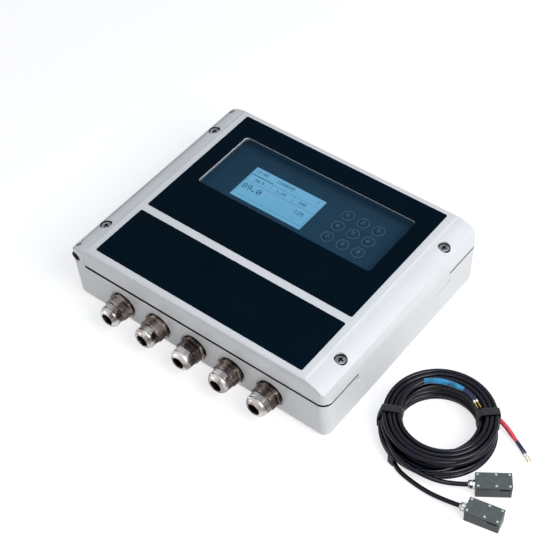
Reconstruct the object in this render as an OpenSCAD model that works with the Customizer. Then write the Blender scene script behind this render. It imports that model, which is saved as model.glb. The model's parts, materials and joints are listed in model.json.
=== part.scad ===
// Clamp-on ultrasonic flow meter: a wall-mounted transmitter and its pair of clamp-on
// transducers with their coiled leads.
// Frame: origin on the wall face in the middle of the transmitter, +Z out of the wall,
// +X towards the opening side of the lid, -Y towards the cable glands. Millimetres.

/* [Case] */
// Width of the case over its side walls
case_w = 245; // [230:1:270]
// Depth of the case from gland wall to rear wall
case_d = 195; // [185:1:215]
// Height of the base from wall face to rim
base_h = 39.5; // [38:0.5:46]
// Height of the lid from base rim to label plane
lid_h = 20.5; // [20:0.5:24]
// Open joint between base rim and lid rim, where the gasket shows
split_gap = 1.8; // [1.2:0.1:2.2]
// Radius of the upright corners
corner_r = 8; // [6:0.5:10]
// How far the walls lean in between rim and wall face
draft = 1; // [0.5:0.1:1.5]
// Thickness of the gland wall and the rear wall
end_wall = 6; // [5.5:0.5:7]
// Thickness of the base floor
floor_t = 4; // [3:0.5:5]
// Width of a side channel with its walls, beside the closed compartment
side_w = 24.5; // [22:0.5:27]
// Thickness of the ribs that part the compartment from the side channels
rib_t = 6; // [5.5:0.5:7]
// Core diameter of the threaded holes in the wall face
wall_hole_d = 4.2; // [3.4:0.1:5]
// Depth of those holes
wall_hole_l = 9; // [7:0.5:9.5]
// How far those holes lie beyond the lid screws
wall_hole_shift = 13; // [11:0.5:15]

/* [Lid] */
// Thickness of the flat of the lid
lid_t = 3; // [2.5:0.5:4]
// Reach of the raised flat of the lid past the compartment on each side
plateau_lap = 6.5; // [5:0.5:8]
// Step down from the raised flat to the curved wings
plateau_step = 0.8; // [0.5:0.1:1.2]
// Height of the crease at the outer edge of a wing, below the label plane
wing_drop = 8; // [7:0.5:9]
// Inset of that crease from the side wall at the rim
wing_inset = 2.8; // [2:0.2:3.6]
// Radius of the curved wings
wing_r = 27; // [22:1:40]
// Wall thickness of the wings and the lid skirt
skin_t = 3; // [2.5:0.5:3.5]
// Rounding along the front and rear edges of the lid
edge_r = 2; // [1:0.5:3]
// Length of the tongue that hangs over the base on the opening side
tongue_l = 117; // [90:1:124]
// How far the tongue hangs below the base rim
tongue_drop = 8; // [5:0.5:10]

/* [Window and labels] */
// Width of the label on each side of the window
window_side = 15; // [10:0.5:22]
// Depth of the window opening
window_d = 62; // [52:1:68]
// Distance of the window and display centre from the rear wall
window_rear = 56.5; // [54:0.5:60]
// Thickness of the window pane
pane_t = 3; // [2:0.5:4]
// Overlap of the pane behind the opening on each side
pane_lap = 3.5; // [3:0.5:5]
// How far the raised field of the pane stays below the label plane
pane_sink = 0.3; // [0.1:0.1:0.6]
// Bevel along the edge of that field
pane_bevel = 1.2; // [0.8:0.1:1.6]
// Bare metal beside both labels
label_side = 7; // [5:0.5:12]
// Bare metal before the lower label and behind the upper label
label_end = 6; // [4:0.5:9]
// Depth of the lower label
lower_label_d = 52; // [40:1:56]
// Bright strip left between the two labels
label_gap = 7; // [4:0.5:10]
// Thickness of a label
label_t = 0.4; // [0.3:0.1:0.6]

/* [Lid screws and hinge] */
// Distance of the lid screws from the side walls
screw_side = 11; // [10:0.5:12]
// Distance of the lid screws from the gland wall and the rear wall
screw_end = 32.1; // [30:0.1:36]
// Depth of the recess for a lid screw below the label plane
screw_sink = 6.8; // [6.6:0.2:8]
// Diameter of the recess for a lid screw
screw_recess_d = 9.6; // [9:0.2:10.4]
// Head diameter of a lid screw
screw_head_d = 8.8; // [8:0.2:9]
// Head height of a lid screw
screw_head_h = 2.8; // [2.6:0.2:3.4]
// Shank diameter of a lid screw
screw_d = 5; // [4:0.5:5]
// Distance of the hinge axis from the side wall
hinge_inset = 6.5; // [6:0.1:7]
// Height of the hinge axis above the base rim
hinge_rise = 6; // [5.5:0.1:6.5]
// Diameter of a hinge pin
hinge_pin_d = 6; // [5:0.2:6.4]
// Length of a hinge pin
hinge_pin_l = 18; // [16:0.5:18]
// Radial clearance of the lid on its hinge pins
hinge_play = 0.05; // [0.03:0.01:0.08]
// Width of a hinge lug along the axis
lug_w = 10.6; // [9:0.2:12]
// Radius of the head of a hinge lug
lug_r = 8.8; // [8.2:0.1:9]

/* [Cable glands] */
// Number of cable glands
gland_count = 5; // [3:1:5]
// Distance between neighbouring glands
gland_pitch = 35.6; // [30:0.2:38]
// Height of the gland row above the wall face
gland_z = 19.5; // [18:0.5:22]
// Thread diameter of a gland
gland_thread_d = 16; // [14:0.5:18]
// Width across flats of gland and cap nut
gland_af = 20.5; // [20:0.5:23]
// Clear bore of the cap nut
gland_mouth_d = 10; // [8:0.5:11]
// Reach of a gland in front of the wall
gland_reach = 19.5; // [17:0.5:22]
// Length of the rubber insert in a gland
gland_seal_l = 6; // [4:0.5:7]

/* [Display and keypad] */
// Depth of the display panel below the label plane
panel_drop = 11.7; // [10.5:0.1:12.5]
// Gap between the display panel and each side of the compartment
panel_side = 5; // [3:0.5:7]
// Depth of the display panel
panel_d = 80; // [74:1:84]
// Thickness of the display panel
panel_t = 2; // [1.6:0.2:2.4]
// Width of the visible screen
screen_w = 69; // [60:0.5:72]
// Depth of the visible screen
screen_d = 36; // [30:0.5:40]
// Sideways place of the screen centre
screen_x = -27.2; // [-32:0.2:-24]
// Sideways place of the middle key column
key_x = 44; // [42:0.5:48]
// Distance of the middle key row behind the window centre
key_shift = 2; // [0:0.5:4]
// Distance between key columns
key_pitch_x = 14.3; // [12:0.1:15]
// Distance between key rows
key_pitch_y = 13.6; // [12:0.1:15]
// Diameter of a key cap
key_d = 8; // [7:0.2:9]
// Travel of a key
key_travel = 0.8; // [0.5:0.1:1]

/* [Electronics] */
// Gap between the main board and each side of the compartment
board_side = 20; // [18:0.5:23]
// Gap between the main board and the gland wall
board_front = 11.5; // [10:0.5:14]
// Gap between the main board and the rear wall
board_rear = 21.5; // [18:0.5:25]
// Thickness of the circuit boards
board_t = 1.6; // [1:0.2:2]
// Height of the boards' standing bosses above the floor
boss_h = 6; // [5:0.5:8]
// Poles in each terminal strip
pole_count = 8; // [6:1:8]
// Distance between terminal poles
pole_pitch = 5.08; // [4.5:0.01:5.2]
// Width of the power module
module_w = 54; // [40:1:60]
// Depth of the power module
module_d = 34; // [24:1:36]
// Height of the power module
module_h = 19; // [14:1:21]
// Width of a relay
relay_w = 15; // [12:1:16]
// Depth of a relay
relay_d = 19; // [16:1:22]
// Height of a relay
relay_h = 15; // [11:1:15]
// Diameter of the small screws that hold boards and panel
small_screw_d = 3; // [2.5:0.5:3]

/* [Transducers] */
// Length of a transducer
sensor_l = 25; // [22:0.5:30]
// Width of a transducer
sensor_w = 12; // [11:0.5:14]
// Height of a transducer with its cover
sensor_h = 12.3; // [11:0.1:14]
// Thickness of the transducer cover
cover_t = 2.2; // [1.8:0.1:2.6]
// Head diameter of a cover screw
cover_screw_d = 1.8; // [1.4:0.1:2]
// Diameter of a transducer gland
sensor_gland_d = 6.2; // [5.4:0.1:7]

/* [Leads] */
// Diameter of a transducer lead
lead_d = 3.4; // [3.2:0.1:3.6]
// Outer radius of the wound leads
coil_r = 42.8; // [42:0.2:43.6]
// Turns side by side in the wound leads
coil_columns = 4; // [4:1:5]
// Height of the wound leads that belongs to the lower lead
lower_coil_h = 10; // [9.4:0.1:10.2]
// Height of the wound leads that belongs to the upper lead
upper_coil_h = 9.9; // [9.4:0.1:10.2]

/* [Hidden] */
$fn = 48;

// Cut tools run past the faces they open by this much
over = 1;
// Free air between pieces that move past each other
free = 0.4;
// Clearance of a piece set into its own seat
seat = 0.05;

case_h = base_h + lid_h;
lid_rim = base_h + split_gap;
half_w = case_w / 2;
half_d = case_d / 2;
chamber_w = case_w - 2 * side_w;
chamber_d = case_d - 2 * end_wall;
chamber_r = 5;
plateau_w = chamber_w + 2 * plateau_lap;
label_w = plateau_w - 2 * label_side;
labels_d = case_d - 2 * label_end;
upper_label_d = labels_d - lower_label_d - label_gap;
window_w = label_w - 2 * window_side;
window_y = half_d - window_rear;
window_r = 3;
screw_span_x = case_w - 2 * screw_side;
screw_span_y = case_d - 2 * screw_end;
rib_x = chamber_w / 2 + rib_t;
flat_z = case_h - label_t;
pane_fit = 0.15;

// Gasket ring and its groove
gasket_w = 3;
gasket_depth = 2;
gasket_fit = 0.1;
gasket_x = chamber_w / 2 + rib_t / 2;
gasket_y = half_d - end_wall / 2;
gasket_r = chamber_r + 3;
// Flat lip of the gasket between the rims, from its inner end to just inside the outer faces
lip_start = 1;
lip_inset = 0.4;

// Wing profile of the lid
wing_top = [plateau_w / 2, flat_z - plateau_step];
wing_edge = [half_w - wing_inset, case_h - wing_drop];
wing_steps = 7;

// Hinge
hinge_x = -half_w + hinge_inset;
hinge_z = base_h + hinge_rise;
lug_inner = half_d - lug_w;
barrel_r = lug_r + 0.7;
trough_r = barrel_r + 0.5;
pin_recess = 3.2;
pin_recess_d = hinge_pin_d + 2.4;
pin_fit = 0.01;
barrel_l = 12;
set_screw_d = 4;
set_screw_sink = 0.1;
set_screw_key = 1.5;

// Tongue and the pocket it hangs in
tongue_t = 3;
tongue_x = half_w - tongue_t;
tongue_z = base_h - tongue_drop;
tongue_bevel = 3;
grip_x = tongue_x - free - 0.1;

// Side channel on the opening side
channel_x = grip_x - 3.5;
channel_z = 12;
channel_r = 3;
boss_d = 11;
boss_blind = 10;
rail_wall = 5.5;
rail_end = 9;
wall_hole_span = screw_span_y + 2 * wall_hole_shift;

// Seat of the lid screw heads
head_floor = case_h - screw_sink;

// Glands
gland_seat_y = half_d - 1.3;
gland_washer_t = 1;
gland_flange_t = 2.6;
gland_collar_t = 6.4;
gland_collar_step = 2.4;
gland_neck_t = 0.8;
gland_turn = 19;
cap_step = 3;
cap_turn = 5;
gland_bore_d = gland_mouth_d + 1;
gland_dome_r = 4.6;
gland_lip = 5;
gland_dome_t = 4.4;
gland_spigot_d = gland_thread_d - 1.2;
gland_seal_d = gland_mouth_d - 2.4;
locknut_t = 3.2;
gland_tail = end_wall + locknut_t + 3;

// Display stack, from the panel face down
panel_w = chamber_w - 2 * panel_side;
panel_z = case_h - panel_drop;
panel_under = panel_z - panel_t;
key_flange_t = 1;
key_flange_d = key_d + 2;
key_hole_d = key_d + 0.8;
key_gap = 0.3;
key_skirt = key_flange_t + key_gap;
switch_h = 3.4;
key_rise = 0.8;
key_stem = 2.2;
display_board_z = panel_under - key_skirt - key_stem - key_travel - switch_h - board_t;
screen_border = 4.5;
screen_frame_w = screen_w + 2 * screen_border;
screen_frame_d = screen_d + 2 * screen_border;
pillar_inset = 5;
pillar_x = panel_w / 2 - pillar_inset;
pillar_y = panel_d / 2 - pillar_inset;
pillar_d = 6;
pillar_boss_h = 4;

// Main board
board_w = chamber_w - 2 * board_side;
board_d = chamber_d - board_front - board_rear;
board_z = floor_t + boss_h;
board_y = (board_front - board_rear) / 2;
board_hole_inset = 5;
board_hole_x = board_w / 2 - board_hole_inset;
board_hole_y = board_d / 2 - board_hole_inset;
strip_w = 10;
strip_h = 12;
strip_l = pole_count * pole_pitch;
strip_inset = 9;
strip_clear = 2;
strip_y = board_y - board_d / 2 + strip_inset;
module_at = [-46, 20];
relay_at = [8, -52];
relay_pitch = 18;
link_at = [48, window_y - 30];
link_w = 34;
link_d = 5.4;
small_head_d = 5.6;
small_head_h = 2;
small_screw_l = 5;
small_hole_d = small_screw_d + 0.4;
strip_pitch = board_hole_x - small_head_d / 2 - strip_clear - strip_l / 2;

// Transducers and leads lie round the middle of the winding, which stands clear of the case
set_gap = 15.2;
coil_at = [half_w + set_gap + coil_r, -43.2, 0];
// Centre of each transducer from there, its turn, and the height of its gland
sensor_a_at = [57.1, -17.8, 0];
sensor_a_turn = 34.5;
sensor_b_at = [64.8, -41.8, 0];
sensor_b_turn = 11.2;
sensor_gland_z = 6.2;

// Wound leads: a narrow upper ring that has slipped a little on the lower one
ring_w = (coil_columns + 0.25) * lead_d;
coil_inner_r = coil_r - ring_w;
coil_h = lower_coil_h + upper_coil_h;
upper_inset = 1.5;
upper_shift = [-0.1, 2.4, 0];
upper_r = coil_r - upper_inset;
strap_w = 6;
strap_t = 0.8;
strap_room = 0.4;
strap_turns = [-155, 42];
ledge_strap_turn = -106;
ledge_strap_w = 4.3;
lead_sides = 8;
core_sides = 6;

// Points along the free stretch of each lead, from the transducer gland to the winding
lead_a_route = [[42.7, -27.7, 6.2], [38.8, -30.3, 6.2], [34.6, -33, 6.4], [30.4, -35.6, 6.9],
    [26, -38, 7.8], [21.4, -40, 9], [16.6, -41.5, 10.2], [11.6, -42.5, 11.2], [6.6, -42.9, 11.9],
    [1.6, -42.8, 12.2], [-3.4, -42.2, 12.5], [-8.2, -40.8, 12.7], [-12.7, -38.8, 12.8],
    [-17, -36.1, 13], [-21, -32.8, 13.4]];
lead_b_route = [[47.6, -45.2, 6.2], [43.5, -46, 5.9], [39, -46.5, 5.2], [34.5, -46.7, 4.2],
    [30, -46.8, 3.2], [25.5, -46.8, 2.3], [21, -46.7, 1.8], [16.5, -46.6, 1.7], [12, -46.3, 1.7],
    [7.5, -45.9, 1.7], [3, -45.3, 1.7], [-1.5, -44.5, 1.7], [-5.8, -43, 1.7], [-9.8, -40.6, 1.8],
    [-13.5, -37.4, 2.2]];

// Points along the far ends: sleeve, then the stripped cores
sleeve_a_route = [[-25.2, 19.1, 20.6], [-20.2, 22.7, 21.6], [-14.9, 25.3, 22.1], [-9.3, 27.1, 22.2],
    [-3.5, 28.2, 22.2], [2.2, 28.7, 22.1]];
core_a_route = [[2.2, 28.7, 22.1], [7, 28.4, 21.9], [11.6, 26.9, 21.6], [15, 24.7, 21.4]];
sleeve_b_route = [[28.1, 32.2, 6], [32.9, 31.4, 5.6], [37.6, 30, 5], [42, 28.2, 4.2],
    [46.3, 26.4, 3.4], [50.2, 24.7, 2.8]];
core_b_route = [[50.2, 24.7, 2.8], [54.1, 23, 2], [57.9, 21.2, 1.5], [61.3, 19.2, 1.3]];
sleeve_d = 4.6;
core_d = 1.6;
core_gap = 1.7;
ferrule_d = 1.2;
ferrule_l = 4.5;

// Centre of the circle of radius r through p and q that bulges up and outwards
function arc_centre(p, q, r) =
    let (c = norm(q - p), v = (q - p) / c, n = [-v[1], v[0]], h = sqrt(r * r - c * c / 4))
    (p + q) / 2 - n * h;

// Points on that circle from p to q, moved towards its centre by inset
function wing_arc(p, q, r, inset = 0) =
    let (o = arc_centre(p, q, r), a = atan2(p[1] - o[1], p[0] - o[0]),
        b = atan2(q[1] - o[1], q[0] - o[0]))
    [for (i = [0 : wing_steps])
        let (t = a + (b - a) * i / wing_steps)
        o + (r - inset) * [cos(t), sin(t)]];

function mirror_x(pts) = [for (i = [len(pts) - 1 : -1 : 0]) [-pts[i][0], pts[i][1]]];

// Right half of the case section above the height z0
function section_half(z0) =
    concat([[plateau_w / 2, flat_z]], wing_arc(wing_top, wing_edge, wing_r),
        [[half_w, lid_rim], [half_w, z0]]);

module section(z0) {
    polygon(concat(section_half(z0), mirror_x(section_half(z0))));
}

// Carries a drawing in X and Z along the depth of the case, from y0 to y1
module along_y(y0, y1) {
    translate([0, y1, 0]) rotate([90, 0, 0]) linear_extrude(y1 - y0) children();
}

// Rectangle with round corners, centred
module round_rect(w, d, r) {
    square([w - 2 * r, d], center = true);
    square([w, d - 2 * r], center = true);
    for (x = [-1, 1], y = [-1, 1])
        translate([x * (w / 2 - r), y * (d / 2 - r)]) circle(r);
}

module slab(w, d, r, z0, z1) {
    translate([0, 0, z0]) linear_extrude(z1 - z0) round_rect(w, d, r);
}

module hexagon(af, h) {
    cylinder(d = af / cos(30), h = h, $fn = 6);
}

module at_corners(span_x, span_y) {
    for (x = [-1, 1], y = [-1, 1]) translate([x * span_x / 2, y * span_y / 2, 0]) children();
}

// Outline of a hinge lug in X and Z, grown by g
module lug_outline(g = 0) {
    translate([hinge_x, hinge_z]) circle(lug_r + g);
    translate([-half_w - 5, base_h - 6]) square([hinge_inset + 5 + lug_r + g, hinge_rise + 6]);
}

// Outer form of the base: leaning walls with round corners on a rounded foot
module base_block() {
    foot_r = corner_r - draft;
    in_x = half_w - corner_r;
    in_y = half_d - corner_r;
    translate([-in_x, -in_y, 0]) cube([2 * in_x, 2 * in_y, base_h]);
    for (s = [-1, 1]) {
        translate([0, s * in_y, foot_r]) rotate([0, 90, 0])
            cylinder(r = foot_r, h = 2 * in_x, center = true);
        translate([s * in_x, 0, foot_r]) rotate([90, 0, 0])
            cylinder(r = foot_r, h = 2 * in_y, center = true);
    }
    translate([0, 0, foot_r]) at_corners(2 * in_x, 2 * in_y) {
        sphere(foot_r);
        cylinder(r1 = foot_r, r2 = corner_r, h = base_h - foot_r);
    }
    along_y(-in_y, in_y) wall_section(half_w, foot_r);
    rotate(90) along_y(-in_x, in_x) wall_section(half_d, foot_r);
}

// Section of the base from the top of its foot to a rim of half width w
module wall_section(w, z0) {
    polygon([[-w + draft, z0], [w - draft, z0], [w, base_h], [-w, base_h]]);
}

module base() {
    color("#b4b6ba") difference() {
        union() {
            difference() {
                base_block();
                slab(chamber_w, chamber_d, chamber_r, floor_t, base_h + over);
                // Channel under the opening wing
                translate([(rib_x + channel_x) / 2, 0, 0])
                    slab(channel_x - rib_x, chamber_d, channel_r, channel_z, base_h + over);
                // Coring of the hinge rail, from the wall side
                translate([-(rib_x + half_w - rail_wall) / 2, 0, 0])
                    slab(half_w - rail_wall - rib_x, wall_hole_span - 2 * rail_end, channel_r,
                        -over, hinge_z - trough_r - floor_t);
                // Pocket for the tongue of the lid
                translate([grip_x, -tongue_l / 2 - free, tongue_z - 2 * free])
                    cube([half_w, tongue_l + 2 * free, 2 * tongue_drop]);
                // Trough that clears the hinge barrel
                along_y(-lug_inner - free, lug_inner + free)
                    translate([hinge_x, hinge_z]) circle(trough_r);
            }
            // Threaded bosses for the lid screws
            for (s = [-1, 1]) translate([screw_span_x / 2, s * screw_span_y / 2, channel_z - over])
                cylinder(d = boss_d, h = base_h - channel_z + over);
            // Bosses for the boards and the panel pillars
            translate([0, board_y, floor_t - over]) at_corners(2 * board_hole_x, 2 * board_hole_y)
                cylinder(d = 8, h = boss_h + over);
            translate([0, window_y, floor_t - over]) at_corners(2 * pillar_x, 2 * pillar_y)
                cylinder(d = 9, h = pillar_boss_h + over);
            hinge_lugs();
        }
        at_corners(screw_span_x, screw_span_y) translate([0, 0, channel_z + boss_blind])
            cylinder(d = screw_d, h = base_h);
        at_corners(screw_span_x, wall_hole_span) translate([0, 0, -over])
            cylinder(d = wall_hole_d, h = wall_hole_l + over);
        gland_places() translate([0, 0, -over - 2])
            cylinder(d = gland_thread_d + 0.4, h = end_wall + 2 * over + 4);
        gland_places() translate([0, 0, -5]) cylinder(d = gland_af / cos(30) + 1, h = 5);
        translate([0, board_y, floor_t]) at_corners(2 * board_hole_x, 2 * board_hole_y)
            cylinder(d = small_screw_d, h = boss_h + over);
        // Bores for the hinge pins, their mouths, and the holes of the grub screws
        along_y(-half_d - over, half_d + over) translate([hinge_x, hinge_z])
            circle(d = hinge_pin_d + 2 * pin_fit);
        for (s = [-1, 1]) {
            along_y(min(s * (half_d - pin_recess), s * (half_d + over)),
                max(s * (half_d - pin_recess), s * (half_d + over)))
                translate([hinge_x, hinge_z]) circle(d = pin_recess_d);
            translate([hinge_x, s * (half_d - lug_w / 2), hinge_z])
                cylinder(d = set_screw_d + 2 * pin_fit, h = lid_h);
        }
    }
}

// Lugs that rise from the base at the two hinge corners and follow the wing of the lid
module hinge_lugs() {
    for (s = [-1, 1]) intersection() {
        along_y(min(s * lug_inner, s * half_d), max(s * lug_inner, s * half_d)) intersection() {
            lug_outline();
            section(0);
        }
        slab(case_w, case_d, corner_r, base_h - 0.5, case_h);
    }
}

// Solid outer form of the lid
module lid_block() {
    intersection() {
        along_y(-half_d, half_d) union() {
            section(lid_rim);
            // Hinge side hangs lower, round the axis
            intersection() {
                translate([hinge_x, hinge_z]) circle(barrel_r);
                translate([-half_w, 0]) square([case_w, case_h - wing_drop]);
            }
        }
        rotate([90, 0, 90]) translate([0, 0, -half_w - over]) linear_extrude(case_w + 2 * over)
            lid_side();
        slab(case_w, case_d, corner_r, 0, case_h + over);
    }
}

// Lid seen along the width, with its front and rear edges rounded
module lid_side() {
    inner = half_d - 0.9;
    polygon([[-half_d, 0], [half_d, 0], [half_d, lid_rim], [inner, flat_z - edge_r],
        [-inner, flat_z - edge_r], [-half_d, lid_rim]]);
    translate([-inner, flat_z - 2 * edge_r]) square([2 * inner, edge_r]);
    translate([-inner + edge_r, flat_z - 2 * edge_r]) square([2 * (inner - edge_r), 2 * edge_r]);
    for (s = [-1, 1]) translate([s * (inner - edge_r), flat_z - edge_r]) circle(edge_r);
}

// Space under a wing, between the outer skin and the rib
module wing_hollow(y_reach) {
    skin = wing_arc(wing_top, wing_edge, wing_r, skin_t);
    along_y(-y_reach, y_reach)
        polygon(concat([[rib_x, base_h - lid_h], [rib_x, skin[0][1]]],
            [for (p = skin) if (p[0] > rib_x && p[0] < half_w - skin_t - 1) p],
            [[half_w - skin_t - 1, wing_edge[1] - 3], [half_w - skin_t, lid_rim - 4],
                [half_w - skin_t, base_h - lid_h]]));
}

module lid() {
    color("#c6ccd4") difference() {
        union() {
            difference() {
                lid_block();
                slab(chamber_w, chamber_d, chamber_r, base_h - lid_h, flat_z - lid_t);
                wing_hollow(half_d - 4);
                mirror([1, 0, 0]) wing_hollow(lug_inner - free - barrel_l);
            }
            // Bosses that guide the lid screws
            intersection() {
                at_corners(screw_span_x, screw_span_y) translate([0, 0, lid_rim + free])
                    cylinder(d = boss_d, h = lid_h);
                along_y(-half_d, half_d) section(lid_rim);
            }
            tongue();
        }
        // Window opening
        translate([0, window_y, 0])
            slab(window_w, window_d, window_r, flat_z - lid_t - over, case_h + over);
        // Groove for the gasket
        difference() {
            gasket_plan(gasket_w / 2 + gasket_fit, lid_rim - over, lid_rim + gasket_depth);
            gasket_plan(-gasket_w / 2 - gasket_fit, 0, case_h);
        }
        at_corners(screw_span_x, screw_span_y) {
            cylinder(d = screw_d + 0.4, h = case_h);
            translate([0, 0, head_floor]) cylinder(d = screw_recess_d, h = case_h);
        }
        // Room for the hinge lugs, and blind bores for the pins
        for (s = [-1, 1])
            along_y(min(s * (lug_inner - free), s * (half_d + over)),
                max(s * (lug_inner - free), s * (half_d + over))) {
                lug_outline(free);
                translate([-half_w - 5, base_h - lid_h])
                    square([hinge_inset + 5 + lug_r + free, hinge_rise + lid_h]);
            }
        for (s = [-1, 1])
            along_y(min(s * (lug_inner - barrel_l + 1), s * half_d),
                max(s * (lug_inner - barrel_l + 1), s * half_d))
                translate([hinge_x, hinge_z]) circle(d = hinge_pin_d + 2 * hinge_play);
    }
}

// Tongue that hangs from the skirt of the lid on the opening side
module tongue() {
    reach = tongue_l / 2;
    translate([tongue_x, 0, 0]) rotate([90, 0, 90]) linear_extrude(tongue_t)
        polygon([[-reach, lid_rim], [-reach, tongue_z + tongue_bevel],
            [-reach + tongue_bevel, tongue_z], [reach - tongue_bevel, tongue_z],
            [reach, tongue_z + tongue_bevel], [reach, lid_rim]]);
}

// Area inside the gasket's centre line, grown by g
module gasket_plan(g, z0, z1) {
    slab(2 * (gasket_x + g), 2 * (gasket_y + g), gasket_r + g, z0, z1);
}

// Bead in the groove of the lid, and a flat lip between the rims outside the compartment
module gasket() {
    color("#15171a") difference() {
        union() {
            gasket_plan(gasket_w / 2, base_h + gasket_fit, lid_rim + gasket_depth);
            gasket_lip();
        }
        gasket_plan(-gasket_w / 2, 0, case_h);
    }
}

module gasket_lip() {
    start_x = hinge_x + lug_r + lip_start;
    difference() {
        slab(case_w - 2 * lip_inset, case_d - 2 * lip_inset, corner_r - lip_inset,
            base_h + gasket_fit, lid_rim - gasket_fit);
        translate([start_x - case_w, -case_d, 0]) cube([case_w, 2 * case_d, case_h]);
        translate([-half_w, -chamber_d / 2, 0]) cube([half_w, chamber_d, case_h]);
        translate([0, -chamber_d / 2, 0]) cube([channel_x, chamber_d, case_h]);
        translate([0, -tongue_l / 2 - 2 * free, 0]) cube([case_w, tongue_l + 4 * free, case_h]);
    }
}

// Sheet behind the opening, and the bevelled field that fills the opening
module window_pane() {
    back_z = flat_z - lid_t;
    field_z = case_h - pane_sink;
    field_w = window_w - 2 * pane_fit;
    field_d = window_d - 2 * pane_fit;
    field_r = window_r - pane_fit;
    color("#5a7288", 0.35) translate([0, window_y, 0]) {
        slab(window_w + 2 * pane_lap, window_d + 2 * pane_lap, 4, back_z - pane_t, back_z);
        hull() {
            slab(field_w, field_d, field_r, back_z - pane_t / 2, field_z - pane_bevel);
            slab(field_w - 2 * pane_bevel, field_d - 2 * pane_bevel, field_r - pane_bevel,
                field_z - pane_bevel, field_z);
        }
    }
}

module upper_label() {
    color("#0b1826") difference() {
        translate([0, (labels_d - upper_label_d) / 2, 0])
            slab(label_w, upper_label_d, 1.5, flat_z, case_h);
        translate([0, window_y, 0]) slab(window_w, window_d, window_r, 0, case_h + over);
    }
}

module lower_label() {
    color("#0b1826") translate([0, (lower_label_d - labels_d) / 2, 0])
        slab(label_w, lower_label_d, 1.5, flat_z, case_h);
}

// Pan head with a cross slot, sitting at z = 0 with its shank below
module cross_screw(head_d, head_h, shank_d, shank_l) {
    difference() {
        union() {
            intersection() {
                cylinder(d = head_d, h = head_h);
                translate([0, 0, head_h - 1.6 * head_d]) sphere(r = 1.6 * head_d);
            }
            translate([0, 0, -shank_l]) cylinder(d = shank_d, h = shank_l + 0.1);
        }
        for (a = [0, 90]) rotate(a)
            translate([-head_d * 0.3, -head_d * 0.08, head_h * 0.4])
                cube([head_d * 0.6, head_d * 0.16, head_h]);
    }
}

module lid_screws() {
    color("#8c9096") at_corners(screw_span_x, screw_span_y) translate([0, 0, head_floor])
        cross_screw(screw_head_d, screw_head_h, screw_d, head_floor - lid_rim - free);
}

module hinge_pins() {
    color("#9a9ea4") for (s = [-1, 1])
        along_y(min(s * (half_d - pin_recess), s * (half_d - pin_recess - hinge_pin_l)),
            max(s * (half_d - pin_recess), s * (half_d - pin_recess - hinge_pin_l)))
            translate([hinge_x, hinge_z]) circle(d = hinge_pin_d);
}

// Grub screws that hold the hinge pins in their lugs
module hinge_set_screws() {
    top = hinge_z + lug_r - set_screw_sink;
    foot = hinge_z + hinge_pin_d / 2;
    color("#7e8488") for (s = [-1, 1])
        translate([hinge_x, s * (half_d - lug_w / 2), foot]) difference() {
            cylinder(d = set_screw_d, h = top - foot);
            translate([0, 0, top - foot - set_screw_key]) hexagon(set_screw_d / 2, lug_r);
        }
}

// Places of the glands: z = 0 on the seat in the wall, +z into the case
module gland_places() {
    for (i = [0 : gland_count - 1])
        translate([(i - (gland_count - 1) / 2) * gland_pitch, -gland_seat_y, gland_z])
            rotate([-90, 0, 0]) children();
}

// Hexagon with both ends turned down at the corners
module turned_hexagon(af, h, turn) {
    intersection() {
        rotate(turn) hexagon(af, h);
        rotate_extrude() polygon([[0, 0], [af * 0.54, 0], [af * 0.58, af * 0.04],
            [af * 0.58, h - af * 0.04], [af * 0.54, h], [0, h]]);
    }
}

// Body of a gland: threaded spigot through the wall, hexagon flange, narrower collar, neck and throat
module gland_bodies() {
    color("#a8a29c") gland_places() mirror([0, 0, 1]) difference() {
        union() {
            translate([0, 0, -gland_tail]) cylinder(d = gland_thread_d, h = gland_tail + gland_washer_t);
            translate([0, 0, gland_washer_t]) {
                turned_hexagon(gland_af, gland_flange_t, gland_turn);
                translate([0, 0, gland_flange_t])
                    turned_hexagon(gland_af - gland_collar_step, gland_collar_t, gland_turn);
                cylinder(d = gland_thread_d + 0.4,
                    h = gland_flange_t + gland_collar_t + gland_neck_t);
            }
            cylinder(d = gland_spigot_d, h = gland_reach - gland_lip);
        }
        translate([0, 0, -gland_tail - over])
            cylinder(d = gland_bore_d, h = gland_tail + gland_reach + 2 * over);
    }
}

module gland_washers() {
    color("#141414") gland_places() mirror([0, 0, 1]) difference() {
        cylinder(d = gland_af + 1.2, h = gland_washer_t);
        translate([0, 0, -over]) cylinder(d = gland_thread_d + 2 * seat, h = gland_washer_t + 2 * over);
    }
}

// Cap nut: turned hexagon, groove and domed front
module gland_cap_nuts() {
    foot = gland_washer_t + gland_flange_t + gland_collar_t + gland_neck_t;
    len = gland_reach - foot;
    wide = gland_af - cap_step;
    hex_l = len * 0.47;
    color("#b0aaa4") gland_places() mirror([0, 0, 1]) translate([0, 0, foot]) difference() {
        union() {
            turned_hexagon(wide, hex_l, cap_turn);
            cylinder(d = wide - 0.8, h = hex_l + 0.5);
            rotate_extrude() polygon(concat([[0, hex_l + 0.5], [0, len]],
                wing_arc([gland_mouth_d / 2 + 1.3, len], [wide / 2 + 0.2, hex_l + 1.3],
                    gland_dome_r), [[wide / 2 + 0.2, hex_l + 0.5]]));
        }
        translate([0, 0, -over]) cylinder(d = gland_spigot_d + 2 * seat, h = len - gland_dome_t + over);
        cylinder(d = gland_mouth_d, h = len + over);
    }
}

// Rubber insert that grips the cable, seen down the mouth of the cap nut
module gland_seals() {
    color("#1a1a1c") gland_places() mirror([0, 0, 1])
        translate([0, 0, gland_reach - gland_lip - gland_seal_l]) difference() {
            cylinder(d = gland_bore_d - 2 * seat, h = gland_seal_l);
            translate([0, 0, -over]) cylinder(d = gland_seal_d, h = gland_seal_l + 2 * over);
        }
}

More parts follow.
